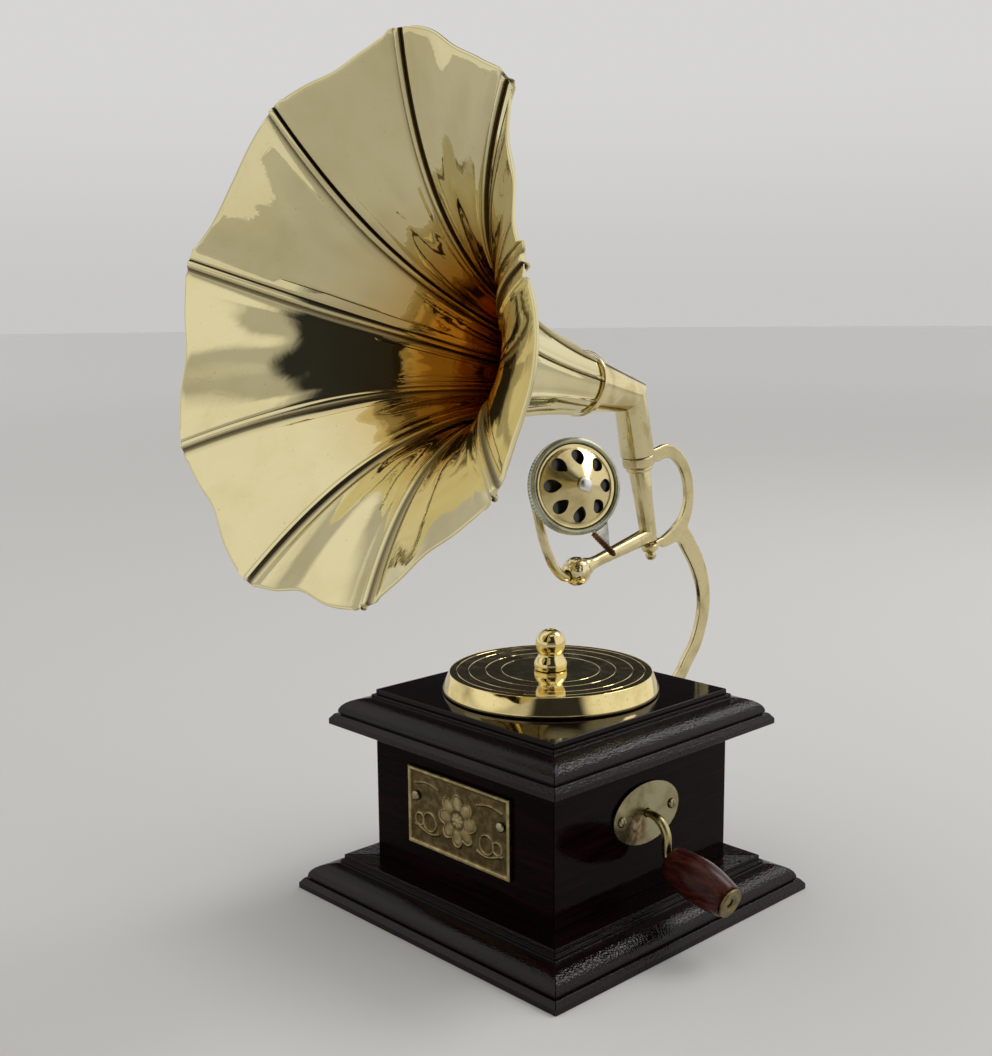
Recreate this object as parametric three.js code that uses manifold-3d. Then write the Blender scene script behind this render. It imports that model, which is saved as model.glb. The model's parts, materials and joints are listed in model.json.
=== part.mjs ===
// A miniature display gramophone with a nine-petal brass horn on a small moulded wooden cabinet.
// Millimetres. +Z is up, the nameplate faces -Y, the crank is on the +X side and the horn bracket
// stands behind at +Y. The origin is the middle of the cabinet's underside.
import * as THREE from "three";
import { mergeVertices } from "three/addons/utils/BufferGeometryUtils.js";
import Module from "manifold-3d";

const wasm = await Module();
wasm.setup();

// Fits
const glueLine = 0.1; // between glued wooden pieces
const seat = 0.15; // between a metal piece and the face that carries it
const runningGap = 0.3; // between a turning piece and its bearing
const overrun = 1; // how far a cutter runs past what it cuts
const mitreLap = 0.1; // by which brazed tubes run into each other at a mitre
const mitreRun = 3; // radii by which a tube runs past its mitre before it is cut
const weldDistance = 1e-5; // corners closer than this are one corner

// Cabinet
const bodyHalf = 34.5;
const wallThickness = 4;
const baseThickness = 5;
const plinthHalf = 51;
const mouldingHeight = 10;
const mouldingProjection = 9.4; // from the flat top's edge out to the lip
const lidUnderside = 48.6;
const topBoardThickness = 4;

// Section of both mouldings, from the flat top down
const beadHeight = 1.5;
const treadWidth = 0.8;
const riserHeight = 1.1;
const ovoloWidth = 6.8;
const ovoloHeight = 4;
const quirkDepth = 0.5;
const quirkHeight = 0.5;
const lipSlope = 1.1;
const lipHeight = 1.5;
const ovoloSteps = 7;

// Nameplate
const plateWidth = 39.6;
const plateHeight = 21.8;
const plateLevel = 29.6;
const plateThickness = 0.9;
const plateBorderWidth = 1.1;
const plateBorderHeight = 0.4;
const rosetteRadius = 7.2;
const rosettePetals = 8;
const rosetteSteps = 6; // points along each petal
const rosetteValleyShare = 0.82; // of the radius, between two petals
const rosetteHeight = 0.35;
const nailSpacing = 33;
const nailLevel = 32.5;
const nailHeadRadius = 1.5;
const nailHeadHeight = 0.8;
const nailShankRadius = 0.5;
const nailLength = 4;

// Crank and its oval plate
const crankLevel = 32;
const rodRadius = 1.05;
const rodBendGap = 0.95; // straight rod between the oval plate and the first bend
const crankBendRadius = 5.8;
const crankDrop = 3.1; // straight run between the two bends
const handleBendRadius = 2.2;
const handleDroopDegrees = 16;
const escutcheonLength = 26;
const escutcheonHeight = 16.6;
const escutcheonThickness = 0.6;
const escutcheonScrewSpacing = 20;
const screwHeadRadius = 1.45;
const screwHeadHeight = 0.7;
const screwShankRadius = 0.7;
const screwLength = 4.2;
const screwSlotWidth = 0.35;
const screwSlotDepth = 0.3;
const crankBushRadius = 2.6;
const crankBushFlangeRadius = 3.8;
const crankBushFlange = 0.8;
const crankCollarRadius = 3;
const crankCollarLength = 2.5;

// Grip
const gripLength = 19;
const gripInnerRadius = 4.5;
const gripMiddleRadius = 5.75;
const gripOuterRadius = 4.5;
const gripEdgeRound = 0.5;
const gripCapThickness = 0.8;

// Turntable
const platterRadius = 30;
const platterRimRadius = 28.1;
const platterHeight = 5.3;
const platterLip = 0.8; // upright edge below the bevel
const platterSkin = 2.2;
const platterWall = 3;
const platterHubRadius = 6;
const platterSag = 0.3;
const grooveRadii = [13.6, 18, 22.7];
const grooveWidth = 0.4;
const grooveDepth = 0.2;
const spindleRadius = 1.75;
const spindleThread = 6;
const bushRadius = 3;
const bushFlangeRadius = 5;
const bushFlange = 1.2;
const bushLength = 9;
const collarRadius = 3.4;
const collarLength = 2;

// Knob on the spindle, from its foot up
const knobFootRadius = 4.5;
const knobFlareRadius = 4.6;
const knobWaistRadius = 3.4;
const knobBallRadius = 4.2;
const knobFootHeight = 0.9;
const knobFlareLevel = 1.7;
const knobWaistLevel = 3.9;
const knobBallLevel = 7.2;
const knobTopFlatRadius = 1.3;

// Hand drive inside the cabinet
const pinionTeeth = 12;
const crownTeeth = 24;
const pinionPitchRadius = 5;
const toothHeight = 0.7; // above the pitch line
const toothRoot = 0.9; // below the pitch line
const toothThicknessShare = 0.36; // of the tooth pitch, at the pitch line
const toothTipShare = 0.6; // of the thickness at the pitch line
const gearFace = 3;
const crownPlate = 2;
const crownHubRadius = 4;
const crownHubHeight = 2.5;
const pinionHubRadius = 2.7;
const pinionHubLength = 5;
const pillarThickness = 4;
const pillarHalfWidth = 3.5;

// Swivel axis of horn and tone arm: it leans towards the front
const swivelLeanDegrees = 12;
const swivelSetback = 1.95; // of the swivel axis behind the cabinet's back
const swivelZ = 119.3;
const collarRingRadius = 4.6;
const collarRingBore = 3.3;
const collarRingHeight = 3;

// Horn
const petalCount = 9;
const hornPitchDegrees = 12.6;
const elbowHeight = 19.1; // of the horn's elbow above the bracket collar, along the swivel axis
const neckLength = 20.4;
const hornLength = 85;
const throatRadius = 7.4;
const rimRadius = 67.7;
const flareRate = 3;
const sheetThickness = 0.8;
const firstSeamDegrees = 88;
const seamDriftDegrees = [-3.6, -1.3, -0.9, 0.9, 3, 2.8, 1.2, 3.5, 0.1];
const seamReachShares = [1.005, 1, 1.06, 1.01, 1, 1.012, 1.035, 0.885, 1.015];
const middleReachShares = [0.925, 0.96, 0.96, 0.93, 0.94, 0.965, 1, 0.87, 0.975];
const reachGrowth = 1.6; // power by which the petals' waves grow towards the rim
const seamGap = 0.3;
const seamRidgeHeight = 1.1;
const seamRidgeWidth = 1;
const seamRidgeFoot = 0.3;
const seamRidgeRise = 8; // length over which the ridge rises from the throat
const petalRows = 12;
const petalColumns = 7;
const throatRingLength = 1.8;
const throatRingThickness = 0.6;
const elbowNeckRadius = 5;
const downTubeTopRadius = 4.65;
const downTubeFootRadius = 4.9;
const pipeWall = 0.9;
const spigotRadius = 3;
const hornSpigot = 1.4; // how deep the horn reaches into the collar
const armSpigot = 0.9;

// Tone arm
const armDrop = 22.9; // from the collar to the arm's elbow
const armReach = 31.4; // from the elbow to the ball
const armTopRadius = 3.05;
const armElbowRadius = 2.45;
const armTipRadius = 1.65;
const armBore = 1;
const armRingRadius = 3.9;
const armRingHeight = 1.3;
const ballRadius = 4.1;
const ballSocketDepth = 2;
const pivotEyeRadius = 2.5;
const pivotEyeThickness = 1.9;
const pivotEyeDrop = 2.8; // from the arm's elbow down to the eye's top
const pivotPinRadius = 0.8;
const pivotNutRadius = 1.6;
const pivotNutSeatShare = 0.9; // height of the nut's seat above its middle, of its radius
const armMitreDegrees = 45; // half of the turn at the arm's elbow

// Bracket
const bracketThickness = 2.4;
const bracketReach = 37; // from the back wall to its farthest point
const bracketFootWidth = 10;
const bracketFootHeight = 22;
const bracketFootThickness = 2.4;
const bracketFootLevel = 30;
const bracketScrewLevel = 27;
const bracketScrewSpacing = 9;
const loopWidth = 4.2;
const stemWidth = 6.2;
const stemFootWidth = 5.4;
const prongWidth = 7;
// Places along the bracket: share of its reach behind the wall, and share of the collar's level
const loopShares = [[0.38, 1.016], [0.52, 1.004], [0.64, 0.972], [0.69, 0.922], [0.685, 0.876], [0.65, 0.82],
  [0.64, 0.79]];
const stemShares = [[0.63, 0.8], [0.745, 0.755], [0.845, 0.71], [0.905, 0.652], [0.9, 0.602], [0.84, 0.536],
  [0.75, 0.482], [0.63, 0.435], [0.48, 0.395], [0.3, 0.36], [0.12, 0.335], [0.03, 0.325]];
const prongShares = [[0.655, 0.795], [0.56, 0.802], [0.46, 0.793], [0.37, 0.782]];

// Sound box: its place and axis in the leaning frame of the swivel
const boxX = 7;
const boxY = -34.25;
const boxZ = 3.6;
const boxTurnDegrees = 19.6; // from +X towards the front
const boxTiltDegrees = 14.3; // upwards
const boxRadius = 13.2;
const boxRimInner = 11.6;
const boxRimFront = 1.6;
const boxRimBack = 2;
const boxRimRound = 0.6;
const coverRadius = 11.4;
const coverSeatLevel = 0.5;
const coverFlange = 1;
const coverHeight = 5.6;
const coverThickness = 0.5;
const coverHoles = 8;
const coverHoleRadius = 2;
const coverHoleStretch = 1.15; // radial stretch of each hole
const coverHoleCircle = 7.8;
const coverFirstHoleDegrees = -14;
const diaphragmThickness = 0.3;
const rivetRadius = 1.9;
const rivetHead = 1;
const rivetShankRadius = 0.55;
const backDepth = 2.2;
const backWall = 0.9;
const backBossRadius = 3;
const backBossLength = 2.4;
const crookRadius = 1.3;
const crookStub = 2.6;
// Places along the crook from the box's centre, as shares of the box's radius
const crookShares = [
  [-0.53, -0.42, -1.68],
  [-0.576, -0.55, -1.076],
  [-0.7, -0.48, -0.515],
  [-0.92, -0.28, -0.24],
  [-0.95, 0.02, -0.2],
];
const lugFirstDegrees = -83;
const lugLastDegrees = -60;
const lugLength = 9;
const lugDegrees = -73;
const lugThickness = 1.3;
const chuckRadius = 1.3;
const chuckLength = 2.2;
const needleRadius = 0.7;
const needlePointRadius = 0.2;
const needleLength = 8.2;
const needleOverhang = 1.7; // of the point past the chuck
const needleDegrees = -54;

// Sides of round pieces
const fineSides = 36;
const roundSides = 20;
const smallSides = 12;
const wireSides = 8;
const crankSteps = 36;
const crookSteps = 28;
const bendSteps = 6;
const swellSteps = 8;
const domeSteps = 4;
const domeFootDegrees = 14; // where a screw's or nail's dome leaves its head's edge

// Levels that follow from the sizes above
const cabinetTop = lidUnderside + mouldingHeight;
const wallTop = cabinetTop - topBoardThickness;
const lidHalf = bodyHalf + glueLine + mouldingProjection;
const platterBottom = cabinetTop + platterSag;
const platterTop = platterBottom + platterHeight;
const crownPitchRadius = (pinionPitchRadius * crownTeeth) / pinionTeeth;
const pitchLevel = crankLevel + pinionPitchRadius;
const pillarOuter = crownPitchRadius - pinionHubLength / 2 - runningGap;
const rodInnerEnd = pillarOuter - pillarThickness;
const rodBendStart = bodyHalf + seat + escutcheonThickness + rodBendGap;
const crankBushOuter = bodyHalf - wallThickness - seat;
const crankBushInner = crankBushOuter - crankBushFlange;
const swivelY = bodyHalf + swivelSetback;
const swivelLean = THREE.MathUtils.degToRad(swivelLeanDegrees);
const boxBackTop = -boxRimBack - seat;
const boxBackFloor = boxBackTop - backDepth;
const boxBossEnd = boxBackFloor - backBossLength;

// Colours and finishes
const finishes = {
  darkWood: { color: 0x1b1110, roughness: 0.22, metalness: 0 },
  gripWood: { color: 0x3a1512, roughness: 0.25, metalness: 0 },
  hornBrass: { color: 0xc9b46e, roughness: 0.16, metalness: 1 },
  castBrass: { color: 0xc4b283, roughness: 0.3, metalness: 1 },
  brightBrass: { color: 0xd3b45c, roughness: 0.12, metalness: 1 },
  antiqueBrass: { color: 0x6f6142, roughness: 0.45, metalness: 1 },
  dullMetal: { color: 0x74796c, roughness: 0.4, metalness: 1 },
  silver: { color: 0xc8c8c4, roughness: 0.22, metalness: 1 },
  bronze: { color: 0x6b4423, roughness: 0.4, metalness: 1 },
  steel: { color: 0x8f9093, roughness: 0.35, metalness: 1 },
  mica: { color: 0x2a2a26, roughness: 0.3, metalness: 0 },
};

// Signed volume of a triangle mesh: negative when its faces point inwards.
function signedVolume(geometry) {
  const place = geometry.attributes.position;
  const index = geometry.index;
  const count = index ? index.count : place.count;
  const corner = (k) => new THREE.Vector3().fromBufferAttribute(place, index ? index.getX(k) : k);
  let volume = 0;
  for (let k = 0; k < count; k += 3) {
    volume += corner(k).dot(corner(k + 1).cross(corner(k + 2)));
  }
  return volume;
}

// The same closed mesh with shared corners and with its faces pointing out.
function closed(geometry) {
  const bare = new THREE.BufferGeometry();
  bare.setAttribute("position", geometry.getAttribute("position").clone());
  if (geometry.index) bare.setIndex(geometry.index.clone());
  const merged = mergeVertices(bare, weldDistance);
  if (signedVolume(merged) < 0) {
    const order = merged.index.array;
    for (let k = 0; k < order.length; k += 3) {
      [order[k + 1], order[k + 2]] = [order[k + 2], order[k + 1]];
    }
  }
  return merged;
}

function toSolid(geometry) {
  const merged = closed(geometry);
  return new wasm.Manifold(new wasm.Mesh({
    numProp: 3,
    vertProperties: new Float32Array(merged.attributes.position.array),
    triVerts: new Uint32Array(merged.index.array),
  }));
}

function fromSolid(solid) {
  const mesh = solid.getMesh();
  const geometry = new THREE.BufferGeometry();
  geometry.setAttribute("position", new THREE.BufferAttribute(mesh.vertProperties.slice(), 3));
  geometry.setIndex(new THREE.BufferAttribute(mesh.triVerts.slice(), 1));
  return geometry;
}

function cut(geometry, tools) {
  let solid = toSolid(geometry);
  for (const tool of tools) solid = solid.subtract(toSolid(tool));
  return fromSolid(solid);
}

function join(geometries) {
  let solid = toSolid(geometries[0]);
  for (const other of geometries.slice(1)) solid = solid.add(toSolid(other));
  return fromSolid(solid);
}

function inFrame(geometry, matrix) {
  return geometry.clone().applyMatrix4(matrix);
}

// A piece turned about Z from [radius, height] points.
function turned(profile, sides) {
  const points = profile.map(([radius, height]) => new THREE.Vector2(radius, height));
  return closed(new THREE.LatheGeometry(points, sides).rotateX(Math.PI / 2));
}

// A ring turned about Z: its profile closes on itself.
function turnedRing(profile, sides) {
  return turned([...profile, profile[0]], sides);
}

// A straight round bar or cone about Z, from one height to another.
function bar(lowRadius, highRadius, low, high, sides = smallSides) {
  return turned([[0, low], [lowRadius, low], [highRadius, high], [0, high]], sides);
}

function sleeve(outerRadius, bore, low, high, sides = smallSides) {
  return turnedRing([[bore, low], [outerRadius, low], [outerRadius, high], [bore, high]], sides);
}

function block(low, high) {
  const size = new THREE.Vector3().subVectors(high, low);
  const middle = new THREE.Vector3().addVectors(high, low).divideScalar(2);
  return new THREE.BoxGeometry(size.x, size.y, size.z).translate(middle.x, middle.y, middle.z);
}

// A flat piece with its outline in X and Y and its thickness along Z.
function flat(points, low, high) {
  const shape = new THREE.Shape(points.map(([x, y]) => new THREE.Vector2(x, y)));
  return new THREE.ExtrudeGeometry(shape, { depth: high - low, bevelEnabled: false }).translate(0, 0, low);
}

function arc(centreX, centreY, radiusX, radiusY, fromDegrees, toDegrees, steps) {
  return Array.from({ length: steps + 1 }, (_, i) => {
    const angle = THREE.MathUtils.degToRad(fromDegrees + ((toDegrees - fromDegrees) * i) / steps);
    return [centreX + radiusX * Math.cos(angle), centreY + radiusY * Math.sin(angle)];
  });
}

// A round rod along a curve.
function rod(points, radius, steps) {
  const path = new THREE.CatmullRomCurve3(points, false, "centripetal");
  const section = new THREE.Shape(arc(0, 0, radius, radius, 0, 360, wireSides).slice(1)
    .map(([x, y]) => new THREE.Vector2(x, y)));
  return closed(new THREE.ExtrudeGeometry(section, { steps, bevelEnabled: false, extrudePath: path }));
}

// A sheet with an inner and an outer skin, each given as rows of points.
function sheet(inner, outer) {
  const rows = inner.length;
  const columns = inner[0].length;
  const corners = [...inner.flat(), ...outer.flat()];
  const faces = [];
  const at = (skin, row, column) => skin * rows * columns + row * columns + column;
  const quad = (a, b, c, d) => faces.push(a, b, c, a, c, d);
  for (let r = 0; r < rows - 1; r++) {
    for (let c = 0; c < columns - 1; c++) {
      quad(at(0, r, c), at(0, r, c + 1), at(0, r + 1, c + 1), at(0, r + 1, c));
      quad(at(1, r, c), at(1, r + 1, c), at(1, r + 1, c + 1), at(1, r, c + 1));
    }
    quad(at(0, r, 0), at(0, r + 1, 0), at(1, r + 1, 0), at(1, r, 0));
    quad(at(0, r, columns - 1), at(1, r, columns - 1), at(1, r + 1, columns - 1), at(0, r + 1, columns - 1));
  }
  for (let c = 0; c < columns - 1; c++) {
    quad(at(0, 0, c), at(1, 0, c), at(1, 0, c + 1), at(0, 0, c + 1));
    quad(at(0, rows - 1, c), at(0, rows - 1, c + 1), at(1, rows - 1, c + 1), at(1, rows - 1, c));
  }
  const geometry = new THREE.BufferGeometry();
  geometry.setAttribute("position", new THREE.Float32BufferAttribute(corners.flatMap((p) => p.toArray()), 3));
  geometry.setIndex(faces);
  return closed(geometry);
}

function piece(parent, name, geometry, finish) {
  const mesh = new THREE.Mesh(geometry, new THREE.MeshStandardMaterial(finishes[finish]));
  mesh.name = name;
  mesh.geometry.computeVertexNormals();
  parent.add(mesh);
  return mesh;
}

function group(parent, x, y, z) {
  const made = new THREE.Group();
  made.position.set(x, y, z);
  parent.add(made);
  return made;
}

// Wooden strips with mitred ends, one on each side of the cabinet

const sides = [["front", 0], ["right", 90], ["back", 180], ["left", 270]];

// The outline gives distance out from the cabinet's axis and height; the strip lies along the front.
function mitredStrip(outline) {
  const geometry = flat(outline, 0, 1);
  const place = geometry.attributes.position;
  for (let i = 0; i < place.count; i++) {
    const out = place.getX(i);
    const end = place.getZ(i) > 0.5 ? 1 : -1;
    place.setXYZ(i, end * (out - glueLine), -out, place.getY(i));
  }
  return closed(geometry);
}

function addStrips(parent, name, outline, finish, cutters = {}) {
  for (const [side, degrees] of sides) {
    const turn = new THREE.Matrix4().makeRotationZ(THREE.MathUtils.degToRad(degrees));
    const strip = inFrame(mitredStrip(outline), turn);
    piece(parent, `${name}_${side}`, cutters[side] ? cut(strip, cutters[side]) : strip, finish);
  }
}

function mouldingOutline(outer, underside, ownsTop) {
  const inner = bodyHalf + glueLine;
  const top = underside + mouldingHeight;
  const topEdge = outer - mouldingProjection;
  const tread = top - beadHeight;
  const riserFoot = tread - riserHeight;
  const ovoloInner = topEdge + treadWidth;
  const ovoloFoot = riserFoot - ovoloHeight;
  const ovoloOuter = ovoloInner + ovoloWidth;
  const quirkFoot = ovoloFoot - quirkHeight;
  const ovolo = arc(ovoloInner, ovoloFoot, ovoloWidth, ovoloHeight, 0, 90, ovoloSteps);
  const upper = ownsTop ? [[topEdge, tread], [topEdge, top], [inner, top]] : [[inner, tread]];
  return [
    [inner, underside],
    [outer, underside],
    [outer, underside + lipHeight],
    [outer - lipSlope, quirkFoot],
    [ovoloOuter - quirkDepth, quirkFoot],
    [ovoloOuter - quirkDepth, ovoloFoot],
    ...ovolo,
    [ovoloInner, tread],
    ...upper,
  ];
}

// Cabinet

function acrossX(geometry, y, z) {
  return geometry.clone().rotateY(Math.PI / 2).translate(0, y, z);
}

// A bar about Z laid down so that it points out of the front (towards -Y) or out of the back.
function outOfFront(geometry, x, z) {
  return geometry.clone().rotateX(Math.PI / 2).translate(x, 0, z);
}

function outOfBack(geometry, x, z) {
  return geometry.clone().rotateX(-Math.PI / 2).translate(x, 0, z);
}

function pilotHole(radius, depth) {
  return bar(radius, radius, bodyHalf - depth, bodyHalf + overrun);
}

function wallCutters() {
  const nailHole = pilotHole(nailShankRadius + seat, nailLength + seat);
  const screwHole = pilotHole(screwShankRadius + seat, wallThickness + overrun);
  const shaftHole = pilotHole(crankBushRadius + seat, wallThickness + overrun);
  return {
    front: [-1, 1].map((s) => outOfFront(nailHole, (s * nailSpacing) / 2, nailLevel)),
    right: [
      acrossX(shaftHole, 0, crankLevel),
      ...[-1, 1].map((s) => acrossX(screwHole, (s * escutcheonScrewSpacing) / 2, crankLevel)),
    ],
    back: [-1, 1].map((s) => outOfBack(screwHole, 0, bracketScrewLevel + (s * bracketScrewSpacing) / 2)),
  };
}

// A square board that fills the cabinet's plan.
function board(low, high) {
  return block(new THREE.Vector3(-bodyHalf, -bodyHalf, low), new THREE.Vector3(bodyHalf, bodyHalf, high));
}

function addCabinet(parent) {
  piece(parent, "base_board", closed(board(0, baseThickness)), "darkWood");
  addStrips(parent, "plinth_moulding", mouldingOutline(plinthHalf, 0, true), "darkWood");
  const wallInner = bodyHalf - wallThickness;
  const wallOutline = [
    [wallInner, baseThickness],
    [bodyHalf, baseThickness],
    [bodyHalf, wallTop],
    [wallInner, wallTop],
  ];
  addStrips(parent, "wall", wallOutline, "darkWood", wallCutters());
  addStrips(parent, "lid_moulding", mouldingOutline(lidHalf, lidUnderside, false), "darkWood");
  const bushHole = bar(bushRadius + seat, bushRadius + seat, wallTop - overrun, cabinetTop + overrun, roundSides);
  piece(parent, "top_board", cut(board(wallTop, cabinetTop), [bushHole]), "darkWood");
}

// Nameplate with a plain rosette in a raised border

function plateOutline(width, height) {
  return [[-width / 2, -height / 2], [width / 2, -height / 2], [width / 2, height / 2], [-width / 2, height / 2]];
}

function rosetteOutline() {
  const steps = rosettePetals * rosetteSteps;
  return Array.from({ length: steps }, (_, i) => {
    const angle = (2 * Math.PI * i) / steps;
    const swell = Math.abs(Math.cos((rosettePetals * angle) / 2));
    const radius = rosetteRadius * (rosetteValleyShare + (1 - rosetteValleyShare) * swell);
    return [radius * Math.cos(angle), radius * Math.sin(angle)];
  });
}

function addNameplate(parent) {
  const edge = plateThickness + plateBorderHeight;
  const blank = flat(plateOutline(plateWidth, plateHeight), seat, edge);
  const field = flat(
    plateOutline(plateWidth - 2 * plateBorderWidth, plateHeight - 2 * plateBorderWidth),
    plateThickness,
    edge + overrun,
  );
  const rosette = flat(rosetteOutline(), seat, plateThickness + rosetteHeight);
  const holes = [-1, 1].map((s) => bar(nailShankRadius + seat, nailShankRadius + seat, -overrun, edge + overrun)
    .translate((s * nailSpacing) / 2, nailLevel - plateLevel, 0));
  const front = new THREE.Matrix4().makeRotationX(Math.PI / 2).setPosition(0, -bodyHalf, plateLevel);
  const relief = join([cut(blank, [field]), rosette]);
  piece(parent, "nameplate", inFrame(cut(relief, holes), front), "antiqueBrass");
  const headLow = bodyHalf + plateThickness + seat;
  const nail = turned([
    [0, bodyHalf + plateThickness - nailLength],
    [nailShankRadius, bodyHalf + plateThickness - nailLength],
    [nailShankRadius, headLow],
    [nailHeadRadius, headLow],
    ...arc(0, headLow, nailHeadRadius, nailHeadHeight, domeFootDegrees, 90, domeSteps),
  ], smallSides);
  [["left", -1], ["right", 1]].forEach(([side, s]) => {
    piece(parent, `nameplate_nail_${side}`, outOfFront(nail, (s * nailSpacing) / 2, nailLevel), "antiqueBrass");
  });
}

// Crank plate, bush and rod

// A round-head screw about Z: its shank runs down from the head's seat.
function screw(headSeat, length) {
  const solid = turned([
    [0, headSeat - length],
    [screwShankRadius, headSeat - length],
    [screwShankRadius, headSeat],
    [screwHeadRadius, headSeat],
    ...arc(0, headSeat, screwHeadRadius, screwHeadHeight, domeFootDegrees, 90, domeSteps),
  ], smallSides);
  const slot = block(
    new THREE.Vector3(-screwHeadRadius - overrun, -screwSlotWidth / 2, headSeat + screwHeadHeight - screwSlotDepth),
    new THREE.Vector3(screwHeadRadius + overrun, screwSlotWidth / 2, headSeat + screwHeadHeight + overrun),
  );
  return cut(solid, [slot]);
}

function addCrankPlate(parent) {
  const low = bodyHalf + seat;
  const high = low + escutcheonThickness;
  const oval = arc(0, 0, escutcheonHeight / 2, escutcheonLength / 2, 0, 360, fineSides).slice(1);
  const holes = [
    bar(rodRadius + runningGap, rodRadius + runningGap, low - overrun, high + overrun),
    ...[-1, 1].map((s) => bar(screwShankRadius + seat, screwShankRadius + seat, low - overrun, high + overrun)
      .translate(0, (s * escutcheonScrewSpacing) / 2, 0)),
  ];
  piece(parent, "crank_plate", acrossX(cut(flat(oval, low, high), holes), 0, crankLevel), "castBrass");
  [["front", -1], ["back", 1]].forEach(([end, s]) => {
    const place = (s * escutcheonScrewSpacing) / 2;
    piece(parent, `crank_plate_screw_${end}`, acrossX(screw(high + seat, screwLength), place, crankLevel), "castBrass");
  });
  const bush = turnedRing([
    [rodRadius + runningGap, crankBushInner],
    [crankBushFlangeRadius, crankBushInner],
    [crankBushFlangeRadius, crankBushOuter],
    [crankBushRadius, crankBushOuter],
    [crankBushRadius, bodyHalf],
    [rodRadius + runningGap, bodyHalf],
  ], roundSides);
  piece(parent, "crank_bush", acrossX(bush, 0, crankLevel), "brightBrass");
}

// Where the rod leaves its lower bend, and the direction of the handle from there.
function handleStart() {
  const droop = THREE.MathUtils.degToRad(handleDroopDegrees);
  const x = rodBendStart + crankBendRadius + handleBendRadius * (1 - Math.sin(droop));
  const z = crankLevel - crankBendRadius - crankDrop - handleBendRadius * Math.cos(droop);
  return { x, z, droop };
}

function crankPath() {
  const bends = [
    [rodInnerEnd, crankLevel],
    [rodBendStart - crankBendRadius, crankLevel],
    ...arc(rodBendStart, crankLevel - crankBendRadius, crankBendRadius, crankBendRadius, 90, 0, bendSteps),
    ...arc(
      rodBendStart + crankBendRadius + handleBendRadius,
      crankLevel - crankBendRadius - crankDrop,
      handleBendRadius,
      handleBendRadius,
      180,
      270 - handleDroopDegrees,
      bendSteps,
    ),
  ];
  const { x, z, droop } = handleStart();
  const run = seat + gripLength + gripCapThickness;
  bends.push([x + run * Math.cos(droop), z - run * Math.sin(droop)]);
  return bends.map(([across, up]) => new THREE.Vector3(across, 0, up));
}

function addCrank(parent) {
  piece(parent, "crank_rod", rod(crankPath(), rodRadius, crankSteps), "castBrass");
  const high = crankBushInner - runningGap;
  const collar = sleeve(crankCollarRadius, rodRadius + seat, high - crankCollarLength, high, roundSides);
  piece(parent, "crank_collar", acrossX(collar, 0, crankLevel), "steel");
  piece(parent, "drive_pinion", acrossX(pinion(), 0, crankLevel), "brightBrass");
  piece(parent, "shaft_pillar", shaftPillar(), "darkWood");
}

function addGrip(parent) {
  const { x, z, droop } = handleStart();
  const holder = group(parent, x, 0, z);
  holder.rotation.y = Math.PI / 2 + droop;
  const low = seat;
  const high = low + gripLength;
  const bore = rodRadius + runningGap;
  const swell = Array.from({ length: swellSteps + 1 }, (_, i) => {
    const share = i / swellSteps;
    const end = gripInnerRadius + (gripOuterRadius - gripInnerRadius) * share;
    const bulge = (gripMiddleRadius - (gripInnerRadius + gripOuterRadius) / 2) * Math.sin(Math.PI * share);
    return [end + bulge, low + gripEdgeRound + (gripLength - 2 * gripEdgeRound) * share];
  });
  const profile = [
    [bore, low],
    [gripInnerRadius - gripEdgeRound, low],
    ...swell,
    [gripOuterRadius - gripEdgeRound, high],
    [bore, high],
  ];
  piece(holder, "crank_grip", turnedRing(profile, roundSides), "gripWood");
  const capRadius = gripOuterRadius - gripEdgeRound;
  const cap = sleeve(capRadius, rodRadius + seat, high + seat, high + seat + gripCapThickness, roundSides);
  piece(holder, "grip_end_cap", cap, "antiqueBrass");
}

// Hand drive: a pinion on the crank rod under a crown wheel on the spindle, and a pillar that carries
// the rod's inner end

const toothPitch = (2 * Math.PI * pinionPitchRadius) / pinionTeeth;

function pinion() {
  const root = pinionPitchRadius - toothRoot;
  const tip = pinionPitchRadius + toothHeight;
  const half = (toothPitch * toothThicknessShare) / 2;
  const outline = [];
  for (let i = 0; i < pinionTeeth; i++) {
    const turn = (2 * Math.PI * i) / pinionTeeth;
    const corner = (radius, across) => {
      const angle = turn + across / radius;
      outline.push([radius * Math.cos(angle), radius * Math.sin(angle)]);
    };
    corner(root, -half);
    corner(pinionPitchRadius, -half);
    corner(tip, -half * toothTipShare);
    corner(tip, half * toothTipShare);
    corner(pinionPitchRadius, half);
    corner(root, half);
  }
  const low = crownPitchRadius - gearFace / 2;
  const gear = flat(outline, low, low + gearFace);
  const hub = bar(pinionHubRadius, pinionHubRadius, crownPitchRadius - pinionHubLength / 2,
    crownPitchRadius + pinionHubLength / 2);
  const bore = bar(rodRadius + seat, rodRadius + seat, 0, crownPitchRadius + pinionHubLength);
  return cut(join([gear, hub]), [bore]);
}

function shaftPillar() {
  const pillar = block(
    new THREE.Vector3(rodInnerEnd, -pillarHalfWidth, baseThickness),
    new THREE.Vector3(pillarOuter, pillarHalfWidth, crankLevel + pillarHalfWidth),
  );
  const bore = rodRadius + runningGap;
  return cut(pillar, [acrossX(bar(bore, bore, rodInnerEnd - overrun, pillarOuter + overrun), 0, crankLevel)]);
}

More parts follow.
